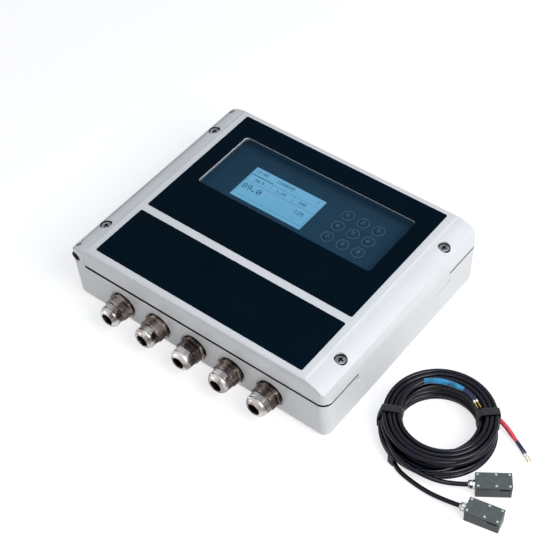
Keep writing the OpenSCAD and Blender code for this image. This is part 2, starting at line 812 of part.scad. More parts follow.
module gland_locknuts() {
    color("#a8a29c") gland_places() translate([0, 0, gland_seat_y - chamber_d / 2])
        difference() {
            hexagon(gland_af - 0.5, locknut_t);
            translate([0, 0, -over]) cylinder(d = gland_thread_d + 2 * seat, h = locknut_t + 2 * over);
        }
}

// Front plate of the display, with the screen opening and nine key holes
module display_panel() {
    color("#1c2a3a") translate([0, window_y, 0]) difference() {
        slab(panel_w, panel_d, 3, panel_under, panel_z);
        translate([screen_x, 0, 0]) slab(screen_w + 1, screen_d + 1, 0.8, 0, case_h);
        for (i = [0 : 8]) translate(key_place(i)) cylinder(d = key_hole_d, h = case_h);
        at_corners(2 * pillar_x, 2 * pillar_y) cylinder(d = small_hole_d, h = case_h);
    }
}

// Place of key i, in rows of three from the rear, from the centre of the panel
function key_place(i) =
    [key_x + (i % 3 - 1) * key_pitch_x, key_shift + (1 - floor(i / 3)) * key_pitch_y, 0];

module screen_frame() {
    color("#202428") translate([screen_x, window_y, 0]) difference() {
        slab(screen_frame_w, screen_frame_d, 1, display_board_z + board_t, panel_under);
        slab(screen_w, screen_d, 0.6, panel_under - 1.2, case_h);
    }
}

module screen_glass() {
    color("#6fb0d4") translate([screen_x, window_y, 0])
        slab(screen_w - 2 * seat, screen_d - 2 * seat, 0.5, panel_under - 1.2, panel_z - 0.6);
}

module display_board() {
    color("#1f5a3a") translate([0, window_y, 0]) difference() {
        slab(panel_w - 2, panel_d - 2, 2, display_board_z, display_board_z + board_t);
        at_corners(2 * pillar_x, 2 * pillar_y) cylinder(d = small_hole_d, h = case_h);
    }
}

module panel_pillars() {
    color("#c9b26a") translate([0, window_y, floor_t + pillar_boss_h])
        at_corners(2 * pillar_x, 2 * pillar_y)
            hexagon(pillar_d, display_board_z - floor_t - pillar_boss_h);
}

module panel_spacers() {
    color("#c9b26a") translate([0, window_y, display_board_z + board_t])
        at_corners(2 * pillar_x, 2 * pillar_y) difference() {
            hexagon(pillar_d, panel_under - display_board_z - board_t);
            translate([0, 0, 2]) cylinder(d = small_screw_d, h = case_h);
        }
}

module panel_screws() {
    color("#9a9ea4") translate([0, window_y, panel_z]) at_corners(2 * pillar_x, 2 * pillar_y)
        cross_screw(small_head_d, small_head_h, small_screw_d, small_screw_l);
}

module key_switches() {
    color("#30343a") translate([0, window_y, display_board_z + board_t]) for (i = [0 : 8])
        translate(key_place(i)) {
            translate([-3, -3, 0]) cube([6, 6, switch_h - 1]);
            cylinder(d = 3.4, h = switch_h);
        }
}

// One key: cap through the panel, flange under it and stem above the switch
module key(i) {
    color("#3c5468") translate([0, window_y, 0] + key_place(i)) {
        translate([0, 0, panel_under - key_gap])
            cylinder(d = key_d, h = panel_t + key_gap + key_rise - 0.5);
        translate([0, 0, panel_z + key_rise - 0.5]) cylinder(d1 = key_d, d2 = key_d - 0.8, h = 0.5);
        translate([0, 0, panel_under - key_skirt]) cylinder(d = key_flange_d, h = key_flange_t);
        translate([0, 0, panel_under - key_skirt - key_stem]) cylinder(d = 3, h = key_stem + 0.1);
    }
}

module main_board() {
    color("#1f5a3a") translate([0, board_y, 0]) difference() {
        slab(board_w, board_d, 2, board_z, board_z + board_t);
        at_corners(2 * board_hole_x, 2 * board_hole_y) cylinder(d = small_hole_d, h = case_h);
    }
}

module board_screws() {
    color("#9a9ea4") translate([0, board_y, board_z + board_t])
        at_corners(2 * board_hole_x, 2 * board_hole_y)
            cross_screw(small_head_d, small_head_h, small_screw_d, small_screw_l);
}

// Three rows of wire terminals behind the glands
module terminal_strips() {
    color("#2f7d4a") for (k = [-1 : 1])
        translate([k * strip_pitch - strip_l / 2, strip_y - strip_w / 2, board_z + board_t])
            difference() {
                union() {
                    cube([strip_l, strip_w, strip_h * 0.62]);
                    translate([0, 2.4, 0]) cube([strip_l, strip_w - 4.8, strip_h]);
                }
                for (p = [0 : pole_count - 1]) translate([(p + 0.5) * pole_pitch, 0, 0]) {
                    translate([-1.8, -over, 1.6]) cube([3.6, 4, 4]);
                    translate([0, strip_w / 2, strip_h * 0.5]) cylinder(d = 3.8, h = strip_h);
                }
            }
}

module terminal_screws() {
    color("#b4b8bc") for (k = [-1 : 1], p = [0 : pole_count - 1])
        translate([k * strip_pitch - strip_l / 2 + (p + 0.5) * pole_pitch, strip_y,
            board_z + board_t + strip_h * 0.5]) difference() {
                cylinder(d = 3.4, h = strip_h * 0.36);
                translate([-2, -0.3, strip_h * 0.36 - 0.8]) cube([4, 0.6, 2]);
            }
}

module power_module() {
    color("#1d1f22") translate(module_at)
        slab(module_w, module_d, 1.5, board_z + board_t, board_z + board_t + module_h);
}

module relays() {
    color("#2b5fa8") for (k = [0, 1]) translate(relay_at + [k * relay_pitch, 0])
        slab(relay_w, relay_d, 0.8, board_z + board_t, board_z + board_t + relay_h);
}

// Stacking header between the main board and the display board
module board_link() {
    color("#17191c") translate(link_at)
        slab(link_w, link_d, 0.4, board_z + board_t, display_board_z);
}

module transducer_place(at, turn) {
    translate(coil_at + at) rotate(turn) children();
}

// Housing of a transducer: open tray with a slot near its far end, and a gland port
module transducer_housing(at, turn) {
    color("#4c5354") transducer_place(at, turn) difference() {
        slab(sensor_l, sensor_w, 0.5, 0, sensor_h - cover_t);
        translate([sensor_l * 0.16, -sensor_w / 2 - over, sensor_h - cover_t - 1.6])
            cube([sensor_l * 0.27, over + 1.1, 1.6 + over]);
        translate([-sensor_l / 2 - over, 0, sensor_gland_z]) rotate([0, 90, 0])
            cylinder(d = sensor_gland_d - 1.8, h = over + 2);
        slab(sensor_l - 5, sensor_w - 5, 1, sensor_h - cover_t - 5, sensor_h);
        for (p = cover_screw_places()) translate([p[0], p[1], sensor_h - cover_t - 2.5])
            cylinder(d = 0.9, h = 4);
    }
}

function cover_screw_places() = [for (x = [-1, 0.16, 1], y = [-1, 1])
    [x * (sensor_l / 2 - 1.6), y * (sensor_w / 2 - 1.3)]];

module transducer_cover(at, turn) {
    color("#586062") transducer_place(at, turn) difference() {
        translate([0, 0, sensor_h - cover_t])
            slab(sensor_l + 0.3, sensor_w + 0.3, 0.6, 0, cover_t);
        for (p = cover_screw_places()) translate([p[0], p[1], 0]) {
            translate([0, 0, sensor_h - 0.7]) cylinder(d = cover_screw_d + 2 * seat, h = 2);
            cylinder(d = 1, h = sensor_h + over);
        }
    }
}

module cover_screws(at, turn) {
    color("#c8ccd0") transducer_place(at, turn) for (p = cover_screw_places())
        translate([p[0], p[1], sensor_h - 0.7]) difference() {
            union() {
                cylinder(d = cover_screw_d, h = 0.65);
                translate([0, 0, -cover_t - 0.8]) cylinder(d = 0.8, h = cover_t + 0.9);
            }
            for (a = [30, 120]) rotate(a) translate([-0.6, -0.13, 0.35]) cube([1.2, 0.26, 1]);
        }
}

module transducer_gland(at, turn) {
    color("#b8bcc0") transducer_place(at, turn) translate([-sensor_l / 2, 0, sensor_gland_z])
        rotate([0, -90, 0]) difference() {
            union() {
                translate([0, 0, -1.9]) cylinder(d = sensor_gland_d - 1.8 - 2 * seat, h = 2);
                hexagon(sensor_gland_d - 0.4, 1.6);
                translate([0, 0, 1.6]) cylinder(d = sensor_gland_d - 1.2, h = 0.5);
                translate([0, 0, 2.1]) cylinder(d = sensor_gland_d, h = 1.7);
                translate([0, 0, 3.8]) cylinder(d1 = sensor_gland_d, d2 = lead_d + 1, h = 1.2);
            }
            translate([0, 0, -3]) cylinder(d = lead_d - 1, h = sensor_l);
        }
}

// Unit vector of the route at point i
function heading(pts, i) =
    let (v = pts[min(i + 1, len(pts) - 1)] - pts[max(i - 1, 0)]) v / norm(v);

// Ring of points square to the route
function ring(c, t, r, n) =
    let (s = cross(t, [0, 0, 1]) / norm(cross(t, [0, 0, 1])), u = cross(s, t))
    [for (k = [0 : n - 1]) c + r * (cos(360 * k / n) * s + sin(360 * k / n) * u)];

// Closed tube of n sides swept along the points
module tube(pts, d, n) {
    m = len(pts);
    points = [for (i = [0 : m - 1]) each ring(pts[i], heading(pts, i), d / 2, n)];
    sides = [for (i = [0 : m - 2], k = [0 : n - 1])
        [i * n + k, i * n + (k + 1) % n, (i + 1) * n + (k + 1) % n, (i + 1) * n + k]];
    first = [for (k = [n - 1 : -1 : 0]) k];
    last = [for (k = [0 : n - 1]) (m - 1) * n + k];
    polyhedron(points, concat(sides, [first], [last]));
}

// Upright ring from radius r0 to r1 and height z0 to z1
module winding(z0, z1, r0, r1) {
    rotate_extrude($fn = 72) translate([r0, z0]) square([r1 - r0, z1 - z0]);
}

// Upper ring of the winding, grown by g on its sides
module upper_ring(g = 0) {
    translate(coil_at + upper_shift) winding(lower_coil_h, coil_h, upper_r - ring_w - g, upper_r + g);
}

module lead_a() {
    color("#17181a") translate(coil_at) tube(lead_a_route, lead_d, lead_sides);
}

module lead_b() {
    color("#17181a") translate(coil_at) tube(lead_b_route, lead_d, lead_sides);
}

module lead_a_coil() {
    color("#17181a") upper_ring();
}

module lead_b_coil() {
    color("#17181a") translate(coil_at) winding(0, lower_coil_h, coil_inner_r, coil_r);
}

module sleeve_a() {
    color("#3f9fd0") translate(coil_at) tube(sleeve_a_route, sleeve_d, lead_sides);
}

module sleeve_b() {
    color("#d0303a") translate(coil_at) tube(sleeve_b_route, sleeve_d, lead_sides);
}

function shifted(pts, d) = [for (i = [0 : len(pts) - 1])
    let (t = heading(pts, i), s = cross(t, [0, 0, 1])) pts[i] + d * s / norm(s)];

// Two stripped cores side by side
module lead_a_end() {
    color("#1b2440") translate(coil_at) for (s = [-1, 1])
        tube(shifted(core_a_route, s * core_gap / 2), core_d, core_sides);
}

module lead_b_end() {
    color("#1b2440") translate(coil_at) for (s = [-1, 1])
        tube(shifted(core_b_route, s * core_gap / 2), core_d, core_sides);
}

// Crimped end sleeves on the cores
module ferrules(pts) {
    last = len(pts) - 1;
    t = heading(pts, last);
    for (s = [-1, 1]) {
        from = shifted(pts, s * core_gap / 2)[last];
        color("#cfc7a0") translate(coil_at) tube([from, from + t * ferrule_l], ferrule_d, lead_sides);
    }
}

module ferrules_a() {
    ferrules(core_a_route);
}

module ferrules_b() {
    ferrules(core_b_route);
}

// Straps that tie the winding, open towards the ground
module coil_straps() {
    color("#222426") {
        for (a = strap_turns) translate(coil_at) full_strap(a);
        ledge_strap();
    }
}

// Slice of the winding as wide as a strap, at the angle a
module strap_slice(a) {
    rotate(a) translate([0, -strap_w / 2, -over]) cube([2 * coil_r, strap_w, 2 * coil_h]);
}

// Strap round both rings at the angle a
module full_strap(a) {
    shift = upper_shift * [cos(a), sin(a), 0];
    inside = min(coil_inner_r, upper_r - ring_w + shift) - strap_room;
    outside = max(coil_r, upper_r + shift) + strap_room;
    intersection() {
        difference() {
            winding(0, coil_h + strap_t, inside - strap_t, outside + strap_t);
            winding(-over, coil_h, inside, outside);
        }
        strap_slice(a);
    }
}

// Strap over the ledge that the upper ring leaves free on the lower one
module ledge_strap() {
    difference() {
        translate(coil_at) intersection() {
            difference() {
                winding(0, lower_coil_h + strap_t, coil_r - ledge_strap_w, coil_r + strap_room + strap_t);
                winding(-over, lower_coil_h, 0, coil_r + strap_room);
            }
            strap_slice(ledge_strap_turn);
        }
        upper_ring(strap_room);
    }
}

base();
lid();
gasket();
window_pane();
upper_label();
lower_label();
lid_screws();
hinge_pins();
hinge_set_screws();
gland_bodies();
gland_washers();
gland_cap_nuts();
gland_seals();
gland_locknuts();
display_panel();
screen_frame();
screen_glass();
display_board();
panel_pillars();
panel_spacers();
panel_screws();
key_switches();
key(0);  // key_1
key(1);  // key_2
key(2);  // key_3
key(3);  // key_4
key(4);  // key_5
key(5);  // key_6
key(6);  // key_7
key(7);  // key_8
key(8);  // key_9
main_board();
board_screws();
terminal_strips();
terminal_screws();
power_module();
relays();
board_link();
transducer_housing(sensor_a_at, sensor_a_turn);  // transducer_housing_a
transducer_cover(sensor_a_at, sensor_a_turn);  // transducer_cover_a
cover_screws(sensor_a_at, sensor_a_turn);  // cover_screws_a
transducer_gland(sensor_a_at, sensor_a_turn);  // transducer_gland_a
transducer_housing(sensor_b_at, sensor_b_turn);  // transducer_housing_b
transducer_cover(sensor_b_at, sensor_b_turn);  // transducer_cover_b
cover_screws(sensor_b_at, sensor_b_turn);  // cover_screws_b
transducer_gland(sensor_b_at, sensor_b_turn);  // transducer_gland_b
lead_a();
lead_b();
lead_a_coil();
lead_b_coil();
lead_a_end();
lead_b_end();
sleeve_a();
sleeve_b();
ferrules_a();
ferrules_b();
coil_straps();
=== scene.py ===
import json
import math
import bmesh
import bpy
import numpy as np
from mathutils import Matrix, Vector
from mathutils.kdtree import KDTree


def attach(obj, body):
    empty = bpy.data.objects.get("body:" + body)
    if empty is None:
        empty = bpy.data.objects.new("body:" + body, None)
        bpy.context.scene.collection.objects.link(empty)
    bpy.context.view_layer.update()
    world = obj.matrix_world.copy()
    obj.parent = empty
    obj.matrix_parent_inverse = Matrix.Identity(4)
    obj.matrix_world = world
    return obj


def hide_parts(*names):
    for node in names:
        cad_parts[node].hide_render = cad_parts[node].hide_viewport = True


# Clamp-on ultrasonic flow meter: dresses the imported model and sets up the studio. Sizes are in millimetres
# unless a note says otherwise, and newPiece turns them into metres.
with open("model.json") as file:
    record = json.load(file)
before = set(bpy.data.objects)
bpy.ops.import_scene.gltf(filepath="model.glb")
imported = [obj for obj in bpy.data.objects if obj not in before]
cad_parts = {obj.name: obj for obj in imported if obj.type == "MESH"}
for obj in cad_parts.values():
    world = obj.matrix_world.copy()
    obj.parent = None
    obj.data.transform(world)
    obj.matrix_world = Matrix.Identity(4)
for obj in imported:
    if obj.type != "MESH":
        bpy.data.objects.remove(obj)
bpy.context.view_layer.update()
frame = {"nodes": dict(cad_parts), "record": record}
record = frame["record"]
bodyOf = {node: body for body, nodes in record["behaviour"]["bodies"].items() for node in nodes}
mm = 0.001


# Camera

cameraSetup = {
    "lens": 89.0055,
    "sensor": 36,
    "azimuth": 40.9144,
    "elevation": 48.2807,
    "roll": -3.8983,
    "place": (463.575, -535.152, 805.543),
    "farthest": 20000,
}


def makeCamera(setup):
    azimuth, elevation, roll = (math.radians(setup[k]) for k in ("azimuth", "elevation", "roll"))
    forward = Vector((-math.sin(azimuth) * math.cos(elevation), math.cos(azimuth) * math.cos(elevation),
                      -math.sin(elevation)))
    level = forward.cross(Vector((0, 0, 1))).normalized()
    upright = level.cross(forward)
    right = level * math.cos(roll) + upright * math.sin(roll)
    up = upright * math.cos(roll) - level * math.sin(roll)
    data = bpy.data.cameras.new("camera")
    data.lens = setup["lens"]
    data.sensor_width = setup["sensor"]
    data.clip_end = setup["farthest"] * mm
    camera = bpy.data.objects.new("camera", data)
    turn = Matrix((right, up, -forward)).transposed().to_4x4()
    camera.matrix_world = Matrix.Translation(Vector(setup["place"]) * mm) @ turn
    bpy.context.scene.collection.objects.link(camera)
    bpy.context.scene.camera = camera


makeCamera(cameraSetup)
print("camera set")


# Materials: a source is a pair of a node and the name of its output

def linear(hexText):
    # sRGB hex to linear light, the one place where colours are turned
    channel = np.array([int(hexText[i:i + 2], 16) for i in (1, 3, 5)]) / 255
    value = np.where(channel <= 0.04045, channel / 12.92, ((channel + 0.055) / 1.055) ** 2.4)
    return (*value.tolist(), 1.0)


def feed(tree, node, **sources):
    # links each source to the socket of its name, or of its number for i0 and i1
    for socket, (source, output) in sources.items():
        key = int(socket[1]) if socket in ("i0", "i1") else socket.replace("_", " ")
        tree.links.new(source.outputs[output], node.inputs[key])


def addNode(tree, kind, settings=None, **sources):
    # one shader node with its settings and links
    node = tree.nodes.new("ShaderNode" + kind)
    for key, value in (settings or {}).items():
        if key in node.inputs:
            node.inputs[key].default_value = value
        else:
            setattr(node, key, value)
    feed(tree, node, **sources)
    return node


def noise(tree, place, size, detail=2.0):
    # soft noise with patches of the given size in mm
    return addNode(tree, "TexNoise", {"Scale": 1 / (size * mm), "Detail": detail}, Vector=place), "Fac"


def spread(tree, source, low, high, reach=(0, 1)):
    # source taken from its reach to low and high
    limits = {"From Min": reach[0], "From Max": reach[1], "To Min": low, "To Max": high}
    return addNode(tree, "MapRange", limits, Value=source), "Result"


def tones(tree, source, colours, places=(0, 1)):
    # source turned into the colours that lie at the given places
    node = addNode(tree, "ValToRGB", Fac=source)
    elements = node.color_ramp.elements
    elements[0].position, elements[1].position = places[0], places[-1]
    for place in places[1:-1]:
        elements.new(place)
    for element, colour in zip(elements, colours):
        element.color = linear(colour)
    return node, "Color"


def relief(tree, source, depth):
    # bump of the given depth in mm
    return addNode(tree, "Bump", {"Distance": depth * mm}, Height=source), "Normal"


def startMaterial(name, surface=None):
    # a fresh material with its tree, its shader, and the place on the object as a source
    material = bpy.data.materials.new(name)
    material.use_nodes = True
    tree = material.node_tree
    shader = tree.nodes["Principled BSDF"]
    for key, value in (surface or {}).items():
        shader.inputs[key].default_value = value
    return material, tree, shader, (addNode(tree, "TexCoord"), "Object")


noiseSpan = (0.3, 0.7)  # where nearly all of a noise lies


def grainMaterial(name, dark, light, patch, grain, depth, roughness, surface=None, vary=0.05):
    # colour wanders between dark and light in patches of the given size, the roughness varies with them, and
    # a relief of the given grain and depth stands on it; sizes in real mm
    material, tree, shader, place = startMaterial(name, surface)
    cloud = noise(tree, place, patch, 4.0)
    feed(tree, shader, Base_Color=tones(tree, cloud, (dark, light), noiseSpan),
         Roughness=spread(tree, cloud, roughness - vary, roughness + vary, noiseSpan))
    if depth:
        feed(tree, shader, Normal=relief(tree, noise(tree, place, grain), depth))
    return material


def paintedReflectionMetal(name, width, colours):
    # nickel plate over turned brass, with painted reflection: the dark and light of a workshop are painted
    # into its colour as streaks of the given width in mm, seven times as long along the axis of a gland
    material, tree, shader, place = startMaterial(name, {"Metallic": 1.0})
    stretched = addNode(tree, "Mapping", {"Scale": (1, 0.14, 1)}, Vector=place), "Vector"
    paintedReflection = noise(tree, stretched, width)
    feed(tree, shader, Base_Color=tones(tree, paintedReflection, colours, (0.34, 0.47, 0.55, 0.68)),
         Roughness=spread(tree, paintedReflection, 0.18, 0.3, noiseSpan))
    return material


def circuitMaterial(name):
    # green solder mask over copper: glossy, with the traces below it a little lighter, 2.4 mm apart
    material, tree, shader, place = startMaterial(name)
    layout = {"Color1": linear("#0c4428"), "Color2": linear("#115233"), "Mortar": linear("#27784c"),
              "Scale": 1 / mm, "Mortar Size": 0.14, "Brick Width": 17.0, "Row Height": 2.4}
    traces = addNode(tree, "TexBrick", layout, Vector=place)
    feed(tree, shader, Base_Color=(traces, "Color"), Normal=relief(tree, (traces, "Fac"), 0.02),
         Roughness=spread(tree, noise(tree, place, 9), 0.24, 0.4))
    return material


def clothMaterial(name, dark, light, pitch):
    # plain weave: two sets of threads at the given spacing, over and under
    surface = {"Roughness": 0.9, "Sheen Weight": 0.15, "Sheen Roughness": 0.5}
    material, tree, shader, place = startMaterial(name, surface)
    wave = {"Scale": 1 / (2 * pitch * mm), "Distortion": 0.6, "Detail": 1.0}
    warp = addNode(tree, "TexWave", dict(wave, bands_direction="Z"), Vector=place)
    weft = addNode(tree, "TexWave", dict(wave, bands_direction="DIAGONAL"), Vector=place)
    weave = addNode(tree, "Math", {"operation": "MULTIPLY"}, i0=(warp, "Fac"), i1=(weft, "Fac")), "Value"
    feed(tree, shader, Base_Color=tones(tree, weave, (dark, light)), Normal=relief(tree, weave, 0.08))
    return material


def paneMaterial(name):
    # smoked polycarbonate sheet: clear, tinted slate, and denser at a flat angle
    material, tree, shader, place = startMaterial(name, {"Roughness": 0.2, "Specular IOR Level": 0.0})
    facing = addNode(tree, "LayerWeight"), "Facing"
    feed(tree, shader, Base_Color=tones(tree, noise(tree, place, 70), ("#263c4d", "#2c4a5f")),
         Alpha=spread(tree, facing, 0.25, 0.66, (0.3, 0.95)))
    return material


def screenMaterial(name):
    # backlit liquid crystal behind glass: a blue glow that varies a little
    surface = {"Roughness": 0.2, "Specular IOR Level": 0.2, "Base Color": linear("#1c4a66"),
               "Emission Strength": 1.15}
    material, tree, shader, place = startMaterial(name, surface)
    feed(tree, shader, Emission_Color=tones(tree, noise(tree, place, 40), ("#6cb8e2", "#8accee")))
    return material


metal = {"Metallic": 1.0}
dull = {"Specular IOR Level": 0.1}
grains = {
    # finish: dark and light tone, patch and grain in mm, depth of the grain, roughness, the shader's other
    # settings, and how far the roughness varies
    # die-cast aluminium under a silver-grey powder coat with a faint orange peel
    "powderCoat": ("#cecfd0", "#d3d4d5", 30, 0.55, 0.008, 0.38, None, 0.04),
    # satin printed film: near-black navy with a very low gloss
    "satinFilm": ("#031019", "#04131e", 60, 0.35, 0.002, 0.42, {"Specular IOR Level": 0.01}, 0.03),
    "mouldedRubber": ("#060607", "#0a0a0b", 6, 0.3, 0.01, 0.7, dull),
    # zinc plate: of the inner screws, the lid's darker ones, the dull grub covers and the small bright screws
    "zincPlate": ("#747477", "#9a9a9d", 3, 0.3, 0.0005, 0.34, metal),
    "darkZinc": ("#6e6e71", "#929295", 3, 0.3, 0.0005, 0.3, metal),
    "agedZinc": ("#555a54", "#6c716a", 3, 0.3, 0.001, 0.5, {"Metallic": 0.2}),
    "brightZinc": ("#b4b6b8", "#cdcecf", 2, 0.3, 0.0005, 0.4, {"Metallic": 0.7}),
    # blackened steel
    "blackOxide": ("#060607", "#0b0b0c", 3, 0.2, 0.002, 0.6, dull),
    # dark slate polycarbonate of panel and keys, the pale print on them, and the dark marks of the screen
    "slatePlate": ("#2b4c5f", "#31556f", 25, 0.3, 0, 0.6, dull),
    "slateKey": ("#29475b", "#2f536b", 8, 0.25, 0, 0.6, dull),
    "paleInk": ("#6aa0b2", "#7bb2c3", 6, 0.2, 0, 0.5),
    "screenInk": ("#1c5478", "#245e82", 6, 0.2, 0, 0.4),
    # machined brass, and moulded plastics of the parts inside
    "turnedBrass": ("#b9934c", "#d2ad66", 4, 0.2, 0.003, 0.25, metal),
    "blackNylon": ("#17181a", "#202124", 8, 0.3, 0.006, 0.5),
    "greenNylon": ("#1c6b3c", "#238049", 6, 0.3, 0.004, 0.4),
    "ivoryNylon": ("#dcdad2", "#ebe9e2", 3, 0.3, 0.002, 0.4),
    "bluePlastic": ("#1e4f96", "#275fae", 8, 0.3, 0.003, 0.3),
    "aluminiumCan": ("#b4b6b8", "#cccdce", 3, 0.2, 0.001, 0.3, metal),
    # engineering plastic of the transducers: grey-green, eroded mould finish; the housing's darker copy is
    # painted shade on their sides
    "sensorPlastic": ("#3c4443", "#49524f", 3, 0.25, 0.008, 0.42, None, 0.06),
    "sensorShadedSides": ("#2a2f31", "#323839", 3, 0.25, 0.008, 0.42, None, 0.06),
    # extruded cable jacket: black with a soft sheen
    "cableJacket": ("#030309", "#060618", 9, 0.4, 0.003, 0.24, {"Specular IOR Level": 0.24}),
    # heat-shrink tube: thin glossy polyolefin
    "blueShrink": ("#0f567c", "#2c94c2", 7, 0.8, 0.02, 0.3),
    "redShrink": ("#c22c3c", "#de4a58", 3, 0.8, 0.02, 0.3),
    "coreJacket": ("#121a36", "#1c2750", 4, 0.3, 0.003, 0.4),
    "giltCrimp": ("#b98f3c", "#dcbc6c", 2, 0.2, 0.003, 0.3, {"Metallic": 0.8}),
}
plates = {
    # finish: width of its painted reflection streaks in mm, and their tones
    "nickelPlate": (5.5, ("#4a403c", "#766a65", "#93877f", "#b5aba5")),
    "nickelCap": (6.5, ("#6a6260", "#9d9693", "#b9b4b1", "#d4d1cf")),
    "nickelSmall": (1.8, ("#57504e", "#a8a3a1", "#d5d2d0", "#f0efee")),
}
finishes = {name: grainMaterial(name, *row) for name, row in grains.items()}
finishes.update({name: paintedReflectionMetal(name, *row) for name, row in plates.items()})
finishes["solderMask"] = circuitMaterial("solderMask")
finishes["strapCloth"] = clothMaterial("strapCloth", "#08090a", "#191b1d", 0.7)
finishes["smokedPane"] = paneMaterial("smokedPane")
finishes["litScreen"] = screenMaterial("litScreen")
print("finishes made:", len(finishes))


# Mesh helpers: a part is a pair of points and faces

shadeAngle = math.radians(50)


def joinParts(parts):
    points, faces, start = [], [], 0
    for p, f in parts:
        points.append(p)
        faces += [[i + start for i in face] for face in f]
        start += len(p)
    return np.concatenate(points), faces


def newPiece(name, parts, finish, body, smooth=True):
    # one object of several parts, with its faces turned outwards
    points, faces = joinParts(parts)
    mesh = bpy.data.meshes.new(name)
    mesh.from_pydata((points * mm).tolist(), [], faces)
    mesh.validate()
    shape = bmesh.new()
    shape.from_mesh(mesh)
    bmesh.ops.recalc_face_normals(shape, faces=shape.faces)
    shape.to_mesh(mesh)
    shape.free()
    mesh.polygons.foreach_set("use_smooth", [smooth] * len(mesh.polygons))
    if smooth:
        mesh.set_sharp_from_angle(angle=shadeAngle)
    mesh.materials.append(finishes[finish])
    piece = bpy.data.objects.new(name, mesh)
    bpy.context.scene.collection.objects.link(piece)
    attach(piece, body)
    return piece


def gridFaces(rows, columns, wrapRows=False):
    # quads of a grid of points stored row by row, each row closed on itself
    a, b = np.meshgrid(np.arange(rows if wrapRows else rows - 1), np.arange(columns), indexing="ij")
    nextA, nextB = (a + 1) % rows, (b + 1) % columns
    quads = np.stack([a * columns + b, a * columns + nextB, nextA * columns + nextB, nextA * columns + b], -1)
    return quads.reshape(-1, 4).tolist()


def closedRows(rows, columns):
    # such a grid with a face over its first row and over its last
    last = (rows - 1) * columns
    return gridFaces(rows, columns) + [list(range(columns))[::-1], list(range(last, last + columns))]


def tubeMesh(path, radius, sides):
    # circles of the given radius, square to the path at each of its points
    path = np.asarray(path, float)
    radius = np.broadcast_to(np.asarray(radius, float), (len(path),))
    tangent = np.gradient(path, axis=0)
    tangent /= np.linalg.norm(tangent, axis=1, keepdims=True)
    side = np.cross(tangent, (0, 0, 1))
    side /= np.linalg.norm(side, axis=1, keepdims=True)
    up = np.cross(side, tangent)
    turn = np.linspace(0, 2 * np.pi, sides, endpoint=False)
    ring = np.cos(turn)[None, :, None] * side[:, None] + np.sin(turn)[None, :, None] * up[:, None]
    points = path[:, None] + radius[:, None, None] * ring
    return points.reshape(-1, 3), closedRows(len(path), sides)


def turned(radii, along, sides, centre, axis="z"):
    # rows of radii (one number, or one for each side) at their places along an axis through the centre
    t = np.linspace(0, 2 * np.pi, sides, endpoint=False)
    rows = np.array([np.broadcast_to(r, (sides,)) for r in radii], float)
    run = np.repeat(np.asarray(along, float)[:, None], sides, 1)
    a, b = rows * np.cos(t), rows * np.sin(t)
    points = np.stack((a, b, run) if axis == "z" else (b, run, a), -1)
    return points.reshape(-1, 3) + np.array(centre, float), closedRows(len(rows), sides)


corners = np.array([(-1, -1), (1, -1), (1, 1), (-1, 1)])


def block(x, y, width, depth, low, high, cut=0.0):
    # upright block round a middle, with its top edges cut back
    rings = [(0, low), (0, high - cut), (cut, high)] if cut else [(0, low), (0, high)]
    points = [(x + a * (width / 2 - inset), y + b * (depth / 2 - inset), z)
              for inset, z in rings for a, b in corners]
    return np.array(points, float), closedRows(len(rings), 4)


def frameRing(x, y, width, depth, wall, low, high):
    # four-sided wall of the given thickness, measured over its outside
    rows = [np.column_stack([corners * ((width / 2 - c, depth / 2 - c)) + (x, y), np.full(4, z)])
            for c, z in ((0, low), (0, high), (wall, high), (wall, low))]
    return np.stack(rows, 1).reshape(-1, 3), gridFaces(4, 4, wrapRows=True)


def flatRing(x, y, z, outer, inner, thick, sides=48):
    # square section run round a circle
    t = np.linspace(0, 2 * np.pi, sides, endpoint=False)
    rows = [np.stack([x + d / 2 * np.cos(t), y + d / 2 * np.sin(t), np.full(sides, z + h)], 1)
            for d, h in ((outer, 0), (outer, thick), (inner, thick), (inner, 0))]
    return np.stack(rows, 1).reshape(-1, 3), gridFaces(sides, 4, wrapRows=True)


def placed(part, at, turn):
    # part turned about Z by degrees and moved
    c, s = math.cos(math.radians(turn)), math.sin(math.radians(turn))
    return part[0] @ np.array([(c, s, 0), (-s, c, 0), (0, 0, 1)]) + np.array(at, float), part[1]


def evenPath(points, step, soften=0.0):
    # same line at an even step, softened by a Gaussian of the given length with both ends held
    points = np.asarray(points, float)
    run = np.concatenate([[0], np.cumsum(np.linalg.norm(np.diff(points, axis=0), axis=1))])
    marks = np.linspace(0, run[-1], max(3, int(round(run[-1] / step)) + 1))
    even = np.stack([np.interp(marks, run, points[:, k]) for k in range(points.shape[1])], 1)
    if soften:
        reach = min(int(3 * soften / step) + 1, len(even) - 1)
        kernel = np.exp(-0.5 * (np.arange(-reach, reach + 1) * step / soften) ** 2)
        kernel /= kernel.sum()
        before = 2 * even[0] - even[reach:0:-1]
        after = 2 * even[-1] - even[-2:-reach - 2:-1]
        padded = np.concatenate([before, even, after])
        even = np.stack([np.convolve(padded[:, k], kernel, "valid") for k in range(points.shape[1])], 1)
    return even


def pathLength(path):
    return float(np.linalg.norm(np.diff(path, axis=0), axis=1).sum())


# Leads: both are wound clockwise into one tied winding, a lower ring and a narrower upper one

